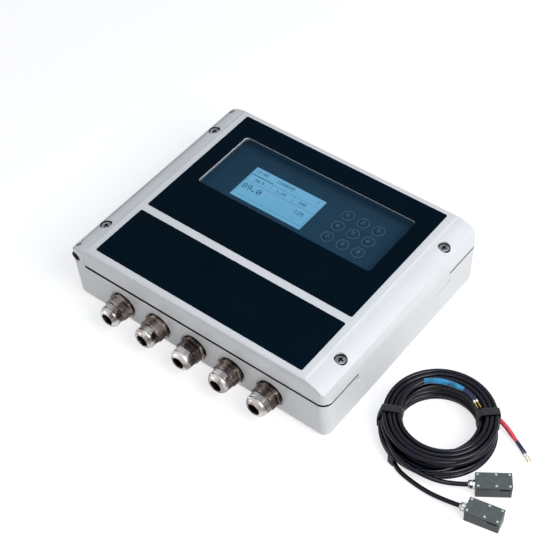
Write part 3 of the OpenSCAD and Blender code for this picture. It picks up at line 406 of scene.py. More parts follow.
leads = {
    "width": 3.4,
    "centre": (180.5, -43.2, 0),
    "A": {
        "route": [(42.7, -27.7, 6.2), (38.8, -30.3, 6.2), (34.6, -33, 6.4), (30.4, -35.6, 6.9),
                  (26, -38, 7.8), (21.4, -40, 9), (16.6, -41.5, 10.2), (11.6, -42.5, 11.2),
                  (6.6, -42.9, 11.9), (1.6, -42.8, 12.2), (-3.4, -42.2, 12.5), (-8.2, -40.8, 12.7),
                  (-12.7, -38.8, 12.8), (-17, -36.1, 13), (-21, -32.8, 13.4)],
        "ring": (-0.1, 2.4),  # middle of its ring from the centre
        # radius and height of each turn in the order of winding
        "turns": [(39.6, 11.6), (36.2, 11.6), (32.8, 11.6), (29.4, 11.6), (28.55, 14.9), (31.95, 14.9),
                  (35.35, 14.9), (38.75, 14.9), (39.6, 18.2), (36.2, 18.2), (32.8, 18.2), (29.4, 18.2)],
        "end": (-25.2, 19.1, 20.6),
        "seed": 0.7,
        "nodes": ("lead_a", "lead_a_coil"),
    },
    "B": {
        "route": [(47.6, -45.2, 6.2), (43.5, -46, 5.9), (39, -46.5, 5.2), (34.5, -46.7, 4.2),
                  (30, -46.8, 3.2), (25.5, -46.8, 2.3), (21, -46.7, 1.8), (16.5, -46.6, 1.7),
                  (12, -46.3, 1.7), (7.5, -45.9, 1.7), (3, -45.3, 1.7), (-1.5, -44.5, 1.7),
                  (-5.8, -43, 1.7), (-9.8, -40.6, 1.8), (-13.5, -37.4, 2.2)],
        "ring": (0, 0),
        "turns": [(41.1, 1.7), (37.7, 1.7), (34.3, 1.7), (30.9, 1.7), (30.05, 5.0), (33.45, 5.0),
                  (36.85, 5.0), (40.25, 5.0), (37.7, 8.3), (34.3, 8.3), (30.9, 8.3), (41.1, 8.3)],
        "end": (28.1, 32.2, 6),
        "seed": 2.9,
        "nodes": ("lead_b", "lead_b_coil"),
    },
    "crossing": (225, 350),  # part of each turn in which it moves over to its next place
    "entry": 50,  # degrees in which a lead joins its ring
    "exit": 85,
    "wander": (0.18, 0.09),  # in radius and in height
    "pointsPerTurn": 60,
    "step": 3.6,
    "soften": 2.6,
    "sides": 12,
}


def smoothStep(x):
    x = np.clip(x, 0, 1)
    return x * x * (3 - 2 * x)


def polar(point, ring):
    # angle in degrees, radius and height of a point round the middle of a ring
    x, y = point[0] - ring[0], point[1] - ring[1]
    return math.degrees(math.atan2(y, x)), math.hypot(x, y), point[2]


def windLead(setup, lead):
    # angle falls steadily from the start; radius and height go from place to place with a smooth step inside
    # the crossing, and both wander a little with sines that never repeat from turn to turn
    turns = np.array(lead["turns"], float)
    ring = lead["ring"]
    first, firstRadius, firstHeight = polar(lead["route"][-1], ring)
    final, finalRadius, finalHeight = polar(lead["end"], ring)
    total = (first - final) % 360 + 360 * (len(turns) - 1)
    phi = np.linspace(0, total, int(total / 360 * setup["pointsPerTurn"]) + 1)
    begin, finish = setup["crossing"]
    starts = 360 * np.arange(len(turns) - 1) + begin
    place = smoothStep((phi[:, None] - starts[None]) / (finish - begin)).sum(1)
    radius = np.interp(place, np.arange(len(turns)), turns[:, 0])
    height = np.interp(place, np.arange(len(turns)), turns[:, 1])
    waves = np.radians(phi)
    seed = lead["seed"]
    wide, high = setup["wander"]
    radius += wide * (np.sin(waves * 1.618 + seed) + 0.6 * np.sin(waves * 2.414 + 2 * seed))
    height += high * np.sin(waves * 1.272 + 3 * seed)
    arrive = 1 - smoothStep(phi / setup["entry"])
    radius += (firstRadius - radius[0]) * arrive
    height += (firstHeight - height[0]) * arrive
    leave = smoothStep((phi - (total - setup["exit"])) / setup["exit"])
    radius += (finalRadius - radius) * leave
    height += (finalHeight - height) * leave
    angle = np.radians(first - phi)
    coil = np.stack([ring[0] + radius * np.cos(angle), ring[1] + radius * np.sin(angle), height], 1)
    whole = np.concatenate([np.array(lead["route"][:-1], float), coil])
    path = evenPath(whole, setup["step"], setup["soften"]) + np.array(setup["centre"])
    path[:, 2] = np.maximum(path[:, 2], setup["width"] / 2 + 0.02)
    return path


def makeLead(name, setup, letter):
    path = windLead(setup, setup[letter])
    tube = tubeMesh(path, setup["width"] / 2, setup["sides"])
    lead = newPiece(name, [tube], "cableJacket", "base")
    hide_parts(*setup[letter]["nodes"])
    return lead, path


leadA, pathA = makeLead("leadUpper", leads, "A")
leadB, pathB = makeLead("leadLower", leads, "B")


# Far ends: heat-shrink sleeve, and two cores, each with a plastic collar and a pressed pin

farEnds = {
    "sleeveWidth": 4.4,
    "grip": 0.97,  # width of the sleeve where it grips the jacket, in parts of its full width
    "start": 0.93,  # and at its very start, in parts of that
    "narrow": (0.72, 0.22),  # from which part of its length it narrows over the cores, and by how much
    "ribs": (21, 0.05),  # waves of the cores that show through it, and their depth
    "coreWidth": 1.472,
    "coreGap": 1.7,
    "splay": (0.85, 0.35),  # distance of the cores at their start in parts of the gap, and its growth
    # step and softening of the lines
    "sleeveLine": (0.8, 2.5),
    "coreLine": (0.7, 2.0),
    "back": 2.0,  # the cores end this far before the end of their line
    # distances from the core's end, and radii
    "collar": ((-0.4, -0.2, 1.2, 1.5), (0.76, 0.86, 0.86, 0.5)),
    "pin": ((1.2, 1.4, 3.2, 4.9, 6.5), (0.34, 0.4, 0.34, 0.4, 0.34)),
    "A": {
        "sleeve": [(-25.2, 19.1, 20.6), (-20.2, 22.7, 21.6), (-14.9, 25.3, 22.1), (-9.3, 27.1, 22.2),
                   (-3.5, 28.2, 22.2), (2.2, 28.7, 22.1)],
        "core": [(2.2, 28.7, 22.1), (7, 28.4, 21.9), (11.6, 26.9, 21.6), (15, 24.7, 21.4)],
        "swell": 1.0,
        "finish": "blueShrink",
        "slot": "blue_sleeve",
        "nodes": ("sleeve_a", "lead_a_end", "ferrules_a"),
    },
    "B": {
        "sleeve": [(28.1, 32.2, 6), (32.9, 31.4, 5.6), (37.6, 30, 5), (42, 28.2, 4.2), (46.3, 26.4, 3.4),
                   (50.2, 24.7, 2.8)],
        "core": [(50.2, 24.7, 2.8), (54.1, 23, 2), (57.9, 21.2, 1.5), (61.3, 19.2, 1.3)],
        "swell": 0.84,
        "finish": "redShrink",
        "slot": "red_sleeve",
        "nodes": ("sleeve_b", "lead_b_end", "ferrules_b"),
    },
}


def makeFarEnd(letter, setup):
    end = setup[letter]
    centre = np.array(leads["centre"], float)
    sleeveLine = evenPath(np.array(end["sleeve"], float) + centre, *setup["sleeveLine"])
    run = np.linspace(0, 1, len(sleeveLine))
    (begin, narrowing), (waves, depth) = setup["narrow"], setup["ribs"]
    shrink = narrowing * smoothStep((run - begin) / (1 - begin)) + depth * np.cos(run * waves) ** 2
    half = setup["sleeveWidth"] / 2 * end["swell"] * (setup["grip"] - shrink)
    half[0] *= setup["start"]
    tube = tubeMesh(sleeveLine, half, 18)
    sleeve = newPiece("sleeve" + letter, [tube], end["finish"], "base")
    core = evenPath(np.array(end["core"], float) + centre, *setup["coreLine"])
    core = np.concatenate([core[:1] - (core[1] - core[0]) * 2, core])
    heading = np.gradient(core, axis=0)
    heading /= np.linalg.norm(heading, axis=1, keepdims=True)
    side = np.cross(heading, (0, 0, 1))
    side /= np.linalg.norm(side, axis=1, keepdims=True)
    along = np.linspace(0, 1, len(core))[:, None]
    cores, collars, pins = [], [], []
    near, growth = setup["splay"]
    for s in (-1, 1):
        line = core + s * side * (setup["coreGap"] / 2) * (near + growth * along ** 2)
        line = line[:-int(setup["back"] / setup["coreLine"][0])]
        cores.append(tubeMesh(line, setup["coreWidth"] / 2, 12))
        out = line[-1] - line[-3]
        out /= np.linalg.norm(out)
        for parts, kind, sides in ((collars, "collar", 12), (pins, "pin", 10)):
            reach, radii = setup[kind]
            parts.append(tubeMesh(line[-1] + np.array(reach)[:, None] * out, radii, sides))
    coresPiece = newPiece("cores" + letter, cores, "coreJacket", "base")
    pinsPiece = newPiece("crimps" + letter, pins, "giltCrimp", "base")
    collarsPiece = newPiece("collars" + letter, collars, "ivoryNylon", "base")
    for piece, node in zip((sleeve, coresPiece, pinsPiece), end["nodes"]):
        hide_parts(node)
    return [sleeve, coresPiece, pinsPiece, collarsPiece]


for lead, path, letter in ((leadA, pathA, "A"), (leadB, pathB, "B")):
    makeFarEnd(letter, farEnds)
print("leads wound:", round(pathLength(pathA)), "and", round(pathLength(pathB)), "mm")


# Straps: woven hook-and-loop bands, two round the whole winding and one over the ledge of its lower ring

straps = {
    "full": (-155, 42),
    "ledge": -106,
    "width": 6.0,
    "thick": 0.7,
    "gap": 0.35,  # from the strands to the middle of a band
    "steps": 96,
    "foot": 0.1,  # lowest points of the section and of the cloth
    "lowest": 0.03,
    # radius and height of the band over the ledge, from its foot to the upper ring
    "ledgeLine": [(38.6, 10.2), (41.2, 10.35), (42.6, 9.9), (43.1, 8.6), (43.3, 5), (43.2, 0.2)],
    # section of the cloth: across it in parts of the width, and outwards in parts of the thickness
    "across": (-0.5, -0.45, -0.2, 0.0, 0.2, 0.45, 0.5, 0.45, 0.0, -0.45),
    "out": (0.5, 0.88, 1.0, 1.0, 1.0, 0.88, 0.5, 0.0, 0.0, 0.0),
    "ripple": 0.05,
}


def hullHalf(points):
    # one side of the convex hull of sorted points
    chain = []
    for p in points:
        while len(chain) > 1 and ((chain[-1][0] - chain[-2][0]) * (p[1] - chain[-2][1])
                                  - (chain[-1][1] - chain[-2][1]) * (p[0] - chain[-2][0])) <= 0:
            chain.pop()
        chain.append(p)
    return chain[:-1]


def strapSection(turn, setup):
    # tight loop round the strands where the strap crosses them: the hull of their circles
    angle = math.radians(turn)
    away = np.linspace(0, 2 * np.pi, 24, endpoint=False)
    reach = leads["width"] / 2 + setup["gap"]
    cloud = set()
    for letter in "AB":
        ring = leads[letter]["ring"]
        shift = ring[0] * math.cos(angle) + ring[1] * math.sin(angle)
        for radius, height in leads[letter]["turns"]:
            r = radius + shift + reach * np.cos(away)
            z = np.maximum(height + reach * np.sin(away), setup["foot"])
            cloud |= set(zip(r.round(4).tolist(), z.round(4).tolist()))
    cloud = sorted(cloud)
    loop = hullHalf(cloud) + hullHalf(cloud[::-1])
    closed = np.array(loop + loop[:1])
    return evenPath(closed, pathLength(closed) / setup["steps"])[:-1]


def strapBand(section, turn, closed, setup):
    # the section is run along the arc by the strap's width, and the cloth waves very slightly
    if closed:
        along = np.roll(section, -1, axis=0) - np.roll(section, 1, axis=0)
    else:
        along = np.gradient(section, axis=0)
    normal = np.stack([along[:, 1], -along[:, 0]], 1)
    normal /= np.linalg.norm(normal, axis=1, keepdims=True)
    angle = math.radians(turn)
    ripple = setup["ripple"] * np.sin(5 * np.linspace(0, 2 * np.pi, len(section)) + turn)
    rows = []
    for offset, out in zip(setup["across"], setup["out"]):
        r, z = (section + normal * (out * setup["thick"] + ripple)[:, None]).T
        shift = offset * setup["width"]
        rows.append(np.stack([r * math.cos(angle) - shift * math.sin(angle),
                              r * math.sin(angle) + shift * math.cos(angle),
                              np.maximum(z, setup["lowest"])], 1))
    points = np.stack(rows, 1).reshape(-1, 3) + np.array(leads["centre"])
    if closed:
        return points, gridFaces(len(section), len(rows), wrapRows=True)
    return points, closedRows(len(section), len(rows))


bands = [strapBand(strapSection(turn, straps), turn, True, straps) for turn in straps["full"]]
bands.append(strapBand(evenPath(straps["ledgeLine"], 0.5, 0.6)[::-1], straps["ledge"], False, straps))
strapPiece = newPiece("leadStraps", bands, "strapCloth", "base")
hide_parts("coil_straps")
print("straps tied")


# Machined and moulded nodes: a merged copy of each with its edges rounded

sharpAngle = math.radians(28)
foldAngle = math.radians(125)
trialLengths = (1.2, 2.0, 2.0, 5.0)


def foldedEnds(shape):
    # ends of the edges at which a surface turns back on itself
    folded = [e for e in shape.edges if len(e.link_faces) == 2 and e.calc_face_angle() > foldAngle]
    return [v.co.copy() for e in folded if e.calc_length() > 0.02 * mm for v in e.verts]


def roomyEdges(shape, width):
    # numbers of the outward edges that have room for the rounding: it is tried on a copy, and the short edges
    # where the trial folds over are left out of the next one, up to a longer length each time
    shape.edges.index_update()
    shape.verts.ensure_lookup_table()
    roomy = {e.index for e in shape.edges
             if len(e.link_faces) == 2 and e.is_convex and e.calc_face_angle() > sharpAngle}
    places = KDTree(len(shape.verts))
    for vertex in shape.verts:
        places.insert(vertex.co, vertex.index)
    places.balance()
    for longest in trialLengths:
        trial = shape.copy()
        trial.edges.ensure_lookup_table()
        bmesh.ops.bevel(trial, geom=[trial.edges[i] for i in roomy], offset=width, offset_type="OFFSET",
                        segments=3, profile=0.5, affect="EDGES", clamp_overlap=False)
        ends = foldedEnds(trial)
        trial.free()
        near = {i for end in ends for _, i, _ in places.find_range(end, 1.6 * width)}
        tight = {e.index for i in near for e in shape.verts[i].link_edges if e.calc_length() < longest * mm}
        if not tight & roomy:
            break
        roomy -= tight
    return roomy


lidLines = {
    "flatEdge": 104.5,
    "slope": (58.8, 59.61),  # its foot and its top
    "fall": 1.75,  # outwards for each mm of height
    "barrelFrom": -122.4,
    "barrel": (52.0, 46.9),  # height of its rear line in the frame and as it is seen
}


def drawIn(shape):
    # the lid as it is seen: its flat runs down to the wings in a narrow slope in place of a step, and behind
    # the hinge-side wing the barrel falls away at the wing's own pitch; points keep the planes of their faces
    foot, top = lidLines["slope"]
    before, after = lidLines["barrel"]
    for vertex in shape.verts:
        x, y, z = vertex.co / mm
        if abs(abs(x) - lidLines["flatEdge"]) < 0.02 and foot + 0.01 < z < top:
            vertex.co.x -= math.copysign(lidLines["fall"] * (z - foot), x) * mm
        if x < lidLines["barrelFrom"] and abs(z - before) < 0.02:
            vertex.co.z = after * mm


# black lip of the seal drawn out over the joint between lid and base: painted shade for the joint's shadow
# gap
shadeLip = {
    "below": 41.25,  # points above this stay
    "corners": (114.5, 89.5),  # middles of the rounded corners
    "edge": 7.4,
    "middle": 40.4,
    "joint": (39.52, 41.28),
    "proud": (0.34, 0.16),  # how far the lip comes out all round, and more of it at the front
    "bulge": ((-106, 114), (0.5, 0.2)),  # over the edges of the walls at the front, from x to x
}


def sealWithShadeLip(shape):
    # the seal as it is seen: the outer lip of its lower part fills the joint, flush with the walls, as
    # painted shade for the joint's shadow gap, and at the front it bulges over their edges, most of all at
    # the hinge end
    low, high = shadeLip["joint"]
    for vertex in shape.verts:
        x, y, z = vertex.co / mm
        over = np.array([max(abs(c) - edge, 0) for c, edge in zip((x, y), shadeLip["corners"])])
        reach = np.hypot(*over)
        if z <= shadeLip["below"] and reach > shadeLip["edge"]:
            front = over[1] / reach if y < 0 else 0
            away = over / reach * (shadeLip["proud"][0] + shadeLip["proud"][1] * front ** 2) * mm
            bulge = front * np.interp(x, *shadeLip["bulge"])
            vertex.co.x += math.copysign(away[0], x)
            vertex.co.y += math.copysign(away[1], y)
            vertex.co.z = (low - bulge if z < shadeLip["middle"] else high + bulge) * mm


def roundedCopy(node, finish, rounding, reshape=None):
    # doubles merged, flat neighbours joined, then a bevel with hardened normals on the edges with room
    shape = bmesh.new()
    shape.from_mesh(frame["nodes"][node].data)
    bmesh.ops.remove_doubles(shape, verts=shape.verts, dist=0.002 * mm)
    bmesh.ops.dissolve_limit(shape, angle_limit=math.radians(0.2), verts=shape.verts, edges=shape.edges)
    if reshape:
        reshape(shape)
    roomy = roomyEdges(shape, rounding * mm)
    weight = shape.edges.layers.float.new("bevel_weight_edge")
    for edge in shape.edges:
        edge[weight] = 1.0 if edge.index in roomy else 0.0
    mesh = bpy.data.meshes.new(node + ".rounded")
    shape.to_mesh(mesh)
    shape.free()
    mesh.polygons.foreach_set("use_smooth", [True] * len(mesh.polygons))
    mesh.set_sharp_from_angle(angle=sharpAngle)
    mesh.materials.clear()
    mesh.materials.append(finishes[finish])
    words = node.split("_")
    piece = bpy.data.objects.new(words[0] + "".join(w.capitalize() for w in words[1:]), mesh)
    bpy.context.scene.collection.objects.link(piece)
    bevel = piece.modifiers.new("rounding", "BEVEL")
    bevel.width = rounding * mm
    bevel.segments = 3
    bevel.limit_method = "WEIGHT"
    bevel.use_clamp_overlap = False
    bevel.loop_slide = False
    bevel.harden_normals = True
    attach(piece, bodyOf[node])
    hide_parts(node)


nodeFinish = {
    # node: finish, rounding of its edges in mm, and what reshapes it
    "base": ("powderCoat", 0.3),
    "lower_label": ("satinFilm", 0.08),
    "upper_label": ("satinFilm", 0.08),
    "lid_screws": ("darkZinc", 0.12),
    "hinge_pins": ("blackOxide", 0.2),
    "hinge_set_screws": ("zincPlate", 0.12),
    "gland_bodies": ("nickelPlate", 0.22),
    "gland_cap_nuts": ("nickelCap", 0.22),
    "gland_locknuts": ("nickelPlate", 0.2),
    "gland_washers": ("mouldedRubber", 0.15),
    "gland_seals": ("mouldedRubber", 0.25),
    "display_panel": ("slatePlate", 0.15),
    "screen_frame": ("slatePlate", 0.1),
    "display_board": ("solderMask", 0.08),
    "main_board": ("solderMask", 0.08),
    "panel_pillars": ("turnedBrass", 0.15),
    "panel_spacers": ("turnedBrass", 0.15),
    "panel_screws": ("zincPlate", 0.1),
    "board_screws": ("zincPlate", 0.1),
    "key_switches": ("blackNylon", 0.12),
    "terminal_strips": ("greenNylon", 0.15),
    "terminal_screws": ("zincPlate", 0.08),
    "power_module": ("blackNylon", 0.3),
    "relays": ("bluePlastic", 0.25),
    "board_link": ("blackNylon", 0.12),
    "lid": ("powderCoat", 0.45, drawIn),
    "gasket": ("mouldedRubber", 0.1, sealWithShadeLip),
    "window_pane": ("smokedPane", 0.15),
    "screen_glass": ("litScreen", 0.1),
}
for end in "ab":
    # the housing takes the darker copy of the plastic: painted shade on the transducers' sides
    nodeFinish["transducer_housing_" + end] = ("sensorShadedSides", 0.16)
    nodeFinish["transducer_cover_" + end] = ("sensorPlastic", 0.16)
    nodeFinish["cover_screws_" + end] = ("brightZinc", 0.05)
    nodeFinish["transducer_gland_" + end] = ("nickelSmall", 0.1)
for i in range(1, 10):
    nodeFinish["key_%d" % i] = ("slateKey", 0.18)
for node, choice in nodeFinish.items():
    roundedCopy(node, *choice)
print("nodes rounded:", len(nodeFinish))


# Small pieces of the case: black fills of the hinge bores, dark rings and crosses in the lid's screws and a
# dark slab on the rear wall of the window's opening, all three painted shade, and grub covers

caseDetails = {
    # black fills of the hinge bores, painted shade for the bores' shadow
    "plug": {"x": -116.0, "z": 45.5, "face": 97.0, "back": 94.4, "radius": 4.1, "socket": 1.5, "deep": 1.4},
    # painted shade in the gap round each lid screw's head and on the floor of its cross
    "screw": {"x": 111.5, "y": 65.4, "low": 53.2, "deep": 2.7, "outer": 9.56, "inner": 8.84,
              "cross": (5.0, 1.2), "crossLow": 54.2, "crossHigh": 54.8},
    "grub": {"x": -114.9, "y": 92.2, "z": 55.41, "lean": (0.868, 0.496),
             "radii": (2.15, 2.15, 1.935, 1.075, 0.05), "along": (-0.3, 0.1, 0.2, 0.28, 0.3)},
    # middle, width, depth, foot and top of the dark slab on the rear wall of the window's opening: painted
    # shade for that wall
    "liner": (0, 71.94, 158, 0.08, 55.6, 58.9),
}


def makeHingeBoreShades(plug):
    # black turned fill of each hinge bore up to near its face, painted shade for the shadow in the bore, with
    # a rounded rim and a six-sided socket
    sides = 36
    t = np.linspace(0, 2 * np.pi, sides, endpoint=False)
    hexagon = plug["socket"] * math.cos(math.pi / 6) / np.cos((t % (math.pi / 3)) - math.pi / 6)
    face, floor, r = plug["face"], plug["face"] - plug["deep"], plug["radius"]
    radii = [0.02, hexagon * 0.98, hexagon, r - 0.5, r - 0.15, r, r]
    along = np.array([floor, floor, face, face, face - 0.15, face - 0.5, plug["back"]])
    parts = [turned(radii, side * along, sides, (plug["x"], 0, plug["z"]), "y") for side in (-1, 1)]
    newPiece("hingeBoreShades", parts, "blackOxide", bodyOf["hinge_pins"])


def makeScrewShades(screw):
    # dark ring in the gap round each head of the lid's screws and a dark block on the floor of its cross,
    # both painted shade for the shadow in those recesses
    long, short = screw["cross"]
    rings, crossShades = [], []
    for x in (-screw["x"], screw["x"]):
        for y in (-screw["y"], screw["y"]):
            rings.append(flatRing(x, y, screw["low"], screw["outer"], screw["inner"], screw["deep"]))
            crossShades += [block(x, y, w, d, screw["crossLow"], screw["crossHigh"])
                        for w, d in ((long, short), (short, long))]
    body = bodyOf["lid_screws"]
    newPiece("screwRings", rings, "mouldedRubber", body)
    newPiece("screwCrossShade", crossShades, "blackOxide", body, smooth=False)


def makeGrubCovers(cover):
    # low domed discs in the wing above the grub screws of the hinge, square to its slope
    c, s = cover["lean"]
    points, faces = turned(cover["radii"], cover["along"], 28, (0, 0, 0))
    tilted = points @ np.array([(c, 0, s), (0, 1, 0), (-s, 0, c)])
    parts = [(tilted + (cover["x"], side * cover["y"], cover["z"]), faces) for side in (-1, 1)]
    newPiece("grubCovers", parts, "agedZinc", bodyOf["lid"])


makeHingeBoreShades(caseDetails["plug"])
makeScrewShades(caseDetails["screw"])
makeGrubCovers(caseDetails["grub"])
# dark slab on the rear wall of the window's opening, painted shade
newPiece("windowLiner", [block(*caseDetails["liner"])], "slatePlate", bodyOf["window_pane"],
         smooth=False)


# Painted shade on each transducer: a dark edge under its cover for the shadow gap there, and a black block in
# the slot below it for the slot's shade

sensorShadeStrips = {
    "places": (((237.6, -61.0, 0), 34.5), ((245.3, -85.0, 0), 11.2)),
    # middle, width, depth, wall, foot and top
    "edge": (0, 0, 24.96, 12.2, 0.6, 9.55, 10.08),
    # middle, width, depth, foot and top
    "insert": (7.375, -5.58, 6.7, 1.1, 8.15, 10.07),
}


def makeSensorShadeStrips(seal):
    # dark strips under the covers and black blocks in the slots: painted shade
    shapes = (frameRing(*seal["edge"]), block(*seal["insert"]))
    parts = [placed(shape, at, turn) for at, turn in seal["places"] for shape in shapes]
    newPiece("sensorShadeStrips", parts, "mouldedRubber", "base", smooth=False)


makeSensorShadeStrips(sensorShadeStrips)


# Parts on the main board

boardParts = {
    "z": 11.6,
    # middle, width, depth, legs on a long side, legs on a short side
    "chips": [(-30, -26, 14, 14, 12, 12), (-60, -50, 10.3, 7.5, 8, 0), (-60, -36, 10.3, 7.5, 8, 0),
              (-60, -22, 10.3, 7.5, 8, 0), (-8, -30, 5, 4, 4, 0), (-30, -50, 12.8, 7.5, 10, 0),
              (-30, 56, 14, 14, 12, 12)],
    "leg": {"size": (1.1, 0.4), "high": 0.9, "cut": 0.12, "out": 0.45, "margin": 1.6},
    # middle, radius, height
    "cans": [(46, -54, 4, 11), (57, -54, 4, 11), (46, -42, 4, 11), (68, -50, 5, 16), (68, -36, 5, 16),
             (-70, -8, 3.1, 7)],
    # first of a row, number, step
    "small": [(-46, -44, 5, (0, 3.2)), (-46, -20, 4, (0, 3.2)), (-16, -54, 4, (3.4, 0)),
              (-16, -49, 4, (3.4, 0)), (-14, -18, 6, (3.4, 0)), (36, -28, 7, (3.4, 0)),
              (36, -22, 7, (3.4, 0)), (14, -30, 5, (0, 3.2))],
    # middle, width, depth of the open sockets for the board's plugs
    "sockets": [(-12, -8, 17.5, 6), (12, -8, 12.5, 6), (-66, 48, 6, 20)],
    "pitch": 2.5,  # of the pins in them
    # piece: finish, slot, smooth
    "pieces": {
        "boardChips": ("blackNylon", "black_plastic", False),
        "boardLegs": ("aluminiumCan", "zinc_steel", False),
        "boardMarks": ("ivoryNylon", "circuit_board", False),
        "boardCans": ("bluePlastic", "relay_plastic", True),
        "boardCanTops": ("aluminiumCan", "zinc_steel", True),
        "boardSockets": ("ivoryNylon", "terminal_plastic", False),
        "boardPins": ("turnedBrass", "brass_spacer", False),
    },
}


def spaced(count, span):
    # places spread evenly over a span, about its middle
    return [(i - (count - 1) / 2) * span / max(count - 1, 1) for i in range(count)]


def addChip(parts, z, leg, x, y, w, d, onLong, onShort):
    # moulded body with the dot of its first leg, bent legs, and a printed frame round it
    long, wide = leg["size"]
    corner = (x - w / 2 + 1.2, y - d / 2 + 1.2, 0)
    parts["boardChips"] += [block(x, y, w, d, z + 0.15, z + 1.9, 0.22),
                            turned([0.5, 0.5], [z + 1.9, z + 1.93], 12, corner)]
    for side in (-1, 1):
        edgeX, edgeY = x + side * (w / 2 + leg["out"]), y + side * (d / 2 + leg["out"])
        feet = [(x + a, edgeY, wide, long) for a in spaced(onLong, w - leg["margin"])]
        feet += [(edgeX, y + a, long, wide) for a in spaced(onShort, d - leg["margin"])]
        parts["boardLegs"] += [block(*foot, z, z + leg["high"], leg["cut"]) for foot in feet]
    parts["boardMarks"].append(frameRing(x, y, w + 4, d + 4, 0.25, z - 0.02, z + 0.04))


def addCan(parts, z, x, y, r, h):
    # crimped aluminium can in its sleeve: a bead near the foot and a rolled shoulder round the bare top
    radii = [r * part for part in (0.9, 0.97, 1, 1, 0.93, 0.93, 1, 1, 0.95, 0.86)]
    along = [0, 0.1, 0.5, 1.2, 1.6, 2.0, 2.4, h - 0.7, h - 0.15, h]
    lid = [r * 0.84, r * 0.84, r * 0.8]
    parts["boardCans"].append(turned(radii, along, 28, (x, y, z)))
    parts["boardCanTops"].append(turned(lid, [h - 0.1, h + 0.05, h + 0.08], 28, (x, y, z)))
    parts["boardMarks"].append(turned([r + 0.7, r + 0.7], [0, 0.04], 28, (x, y, z)))


def addRow(parts, z, x, y, count, step):
    # row of small two-ended parts across its step, each with a metal cap at both ends
    across = step[0] > 0
    w, d = (1.0, 2.0) if across else (2.0, 1.0)
    for i in range(count):
        px, py = x + i * step[0], y + i * step[1]
        parts["boardChips"].append(block(px, py, w, d, z, z + 0.55, 0.08))
        for side in (-0.84, 0.84):
            cap = (px, py + side, 1.04, 0.6) if across else (px + side, py, 0.6, 1.04)
            parts["boardLegs"].append(block(*cap, z, z + 0.6, 0.08))


def addSocket(parts, z, pitch, x, y, w, d):
    # open box with a row of square pins
    parts["boardSockets"] += [frameRing(x, y, w, d, 0.9, z, z + 6.5),
                              block(x, y, w - 1.6, d - 1.6, z, z + 1.2)]
    count = int((max(w, d) - pitch) / pitch)
    for a in spaced(count, pitch * (count - 1)):
        px, py = (x + a, y) if w > d else (x, y + a)
        parts["boardPins"].append(block(px, py, 0.64, 0.64, z, z + 5.2, 0.15))


def makeBoardParts(board):
    z = board["z"]
    parts = {name: [] for name in board["pieces"]}
    for chip in board["chips"]:
        addChip(parts, z, board["leg"], *chip)
    for can in board["cans"]:
        addCan(parts, z, *can)
    for row in board["small"]:
        addRow(parts, z, *row)
    for socket in board["sockets"]:
        addSocket(parts, z, board["pitch"], *socket)
    for name, (finish, slot, smooth) in board["pieces"].items():
        newPiece(name, parts[name], finish, "base", smooth)


makeBoardParts(boardParts)
print("board dressed")


# Marks of the screen and the keys

# rows of a five by seven dot character, as binary numbers from the top
dotDigits = {"0": (14, 17, 19, 21, 25, 17, 14), "1": (4, 12, 4, 4, 4, 4, 14), "2": (14, 17, 1, 2, 4, 8, 31),
             "3": (31, 2, 4, 2, 1, 17, 14), "4": (2, 6, 10, 18, 31, 2, 2), "5": (31, 16, 30, 1, 1, 17, 14),
             "6": (6, 8, 16, 30, 17, 17, 14), "7": (31, 1, 2, 4, 8, 8, 8), "8": (14, 17, 17, 14, 17, 17, 14),
             "9": (14, 17, 17, 15, 1, 2, 12), ".": (0, 0, 0, 0, 0, 12, 12), "-": (0, 0, 0, 14, 0, 0, 0)}
inkDepth = 0.04


def inkBar(x0, x1, y0, y1, z):
    return block((x0 + x1) / 2, (y0 + y1) / 2, x1 - x0, y1 - y0, z, z + inkDepth)


def dotText(text, left, top, cell, z):
    # each row of a character becomes one thin bar per run of set dots
    bars = []
    for place, sign in enumerate(text):
        for row, bits in enumerate(dotDigits[sign]):
            cells = [bits >> (4 - k) & 1 for k in range(5)] + [0]
            start = None
            for k, on in enumerate(cells):
                if on and start is None:
                    start = k
                if not on and start is not None:
                    x, y = left + (place * 6 + start) * cell, top - row * cell
                    bars.append(inkBar(x, x + (k - start) * cell, y - cell, y, z))
                    start = None
    return bars


screenFace = {
    "left": -61.7, "rear": 59.0, "z": 47.7,
    # text, its left edge and top from the left rear corner, and its dot size
    "texts": [("12-08", 2.2, 2.4, 0.4), ("1240685", 23, 2.4, 0.42), ("2", 63, 2.6, 0.36),
              ("20.5", 7, 11.4, 0.4), ("1.60", 29, 11.4, 0.4), ("340", 51, 11.4, 0.4),
              ("89.0", 2.6, 19.6, 0.78), ("125", 54, 20.5, 0.5), ("-", 55, 27.4, 0.5)],
    # bars from x to x and y to y, counted in the same way
    "bars": [(1.2, 22, 8.0, 8.75), (22, 67, 9.2, 9.4), (1.2, 67.8, 16.6, 16.8), (23.0, 23.2, 9.4, 16.6),
             (45.6, 45.8, 9.4, 16.6), (1.2, 67.8, 32.6, 32.8), (67.8, 68.0, 9.2, 32.8),
             (1.0, 1.2, 8.75, 32.8)],
}


def makeScreenMarks(face):
    left, rear, z = face["left"], face["rear"], face["z"]
    parts = []
    for text, x, y, cell in face["texts"]:
        parts += dotText(text, left + x, rear - y, cell, z)
    parts += [inkBar(left + x0, left + x1, rear - y1, rear - y0, z) for x0, x1, y0, y1 in face["bars"]]
    newPiece("screenMarks", parts, "screenInk", "base", smooth=False)


keyFace = {
    "middle": (44.0, 43.0),
    "pitch": (14.3, 13.6),
    "z": 49.1,
    "ring": (10.2, 9.2),
    "ringZ": 48.3,
    "dot": 0.5,
}


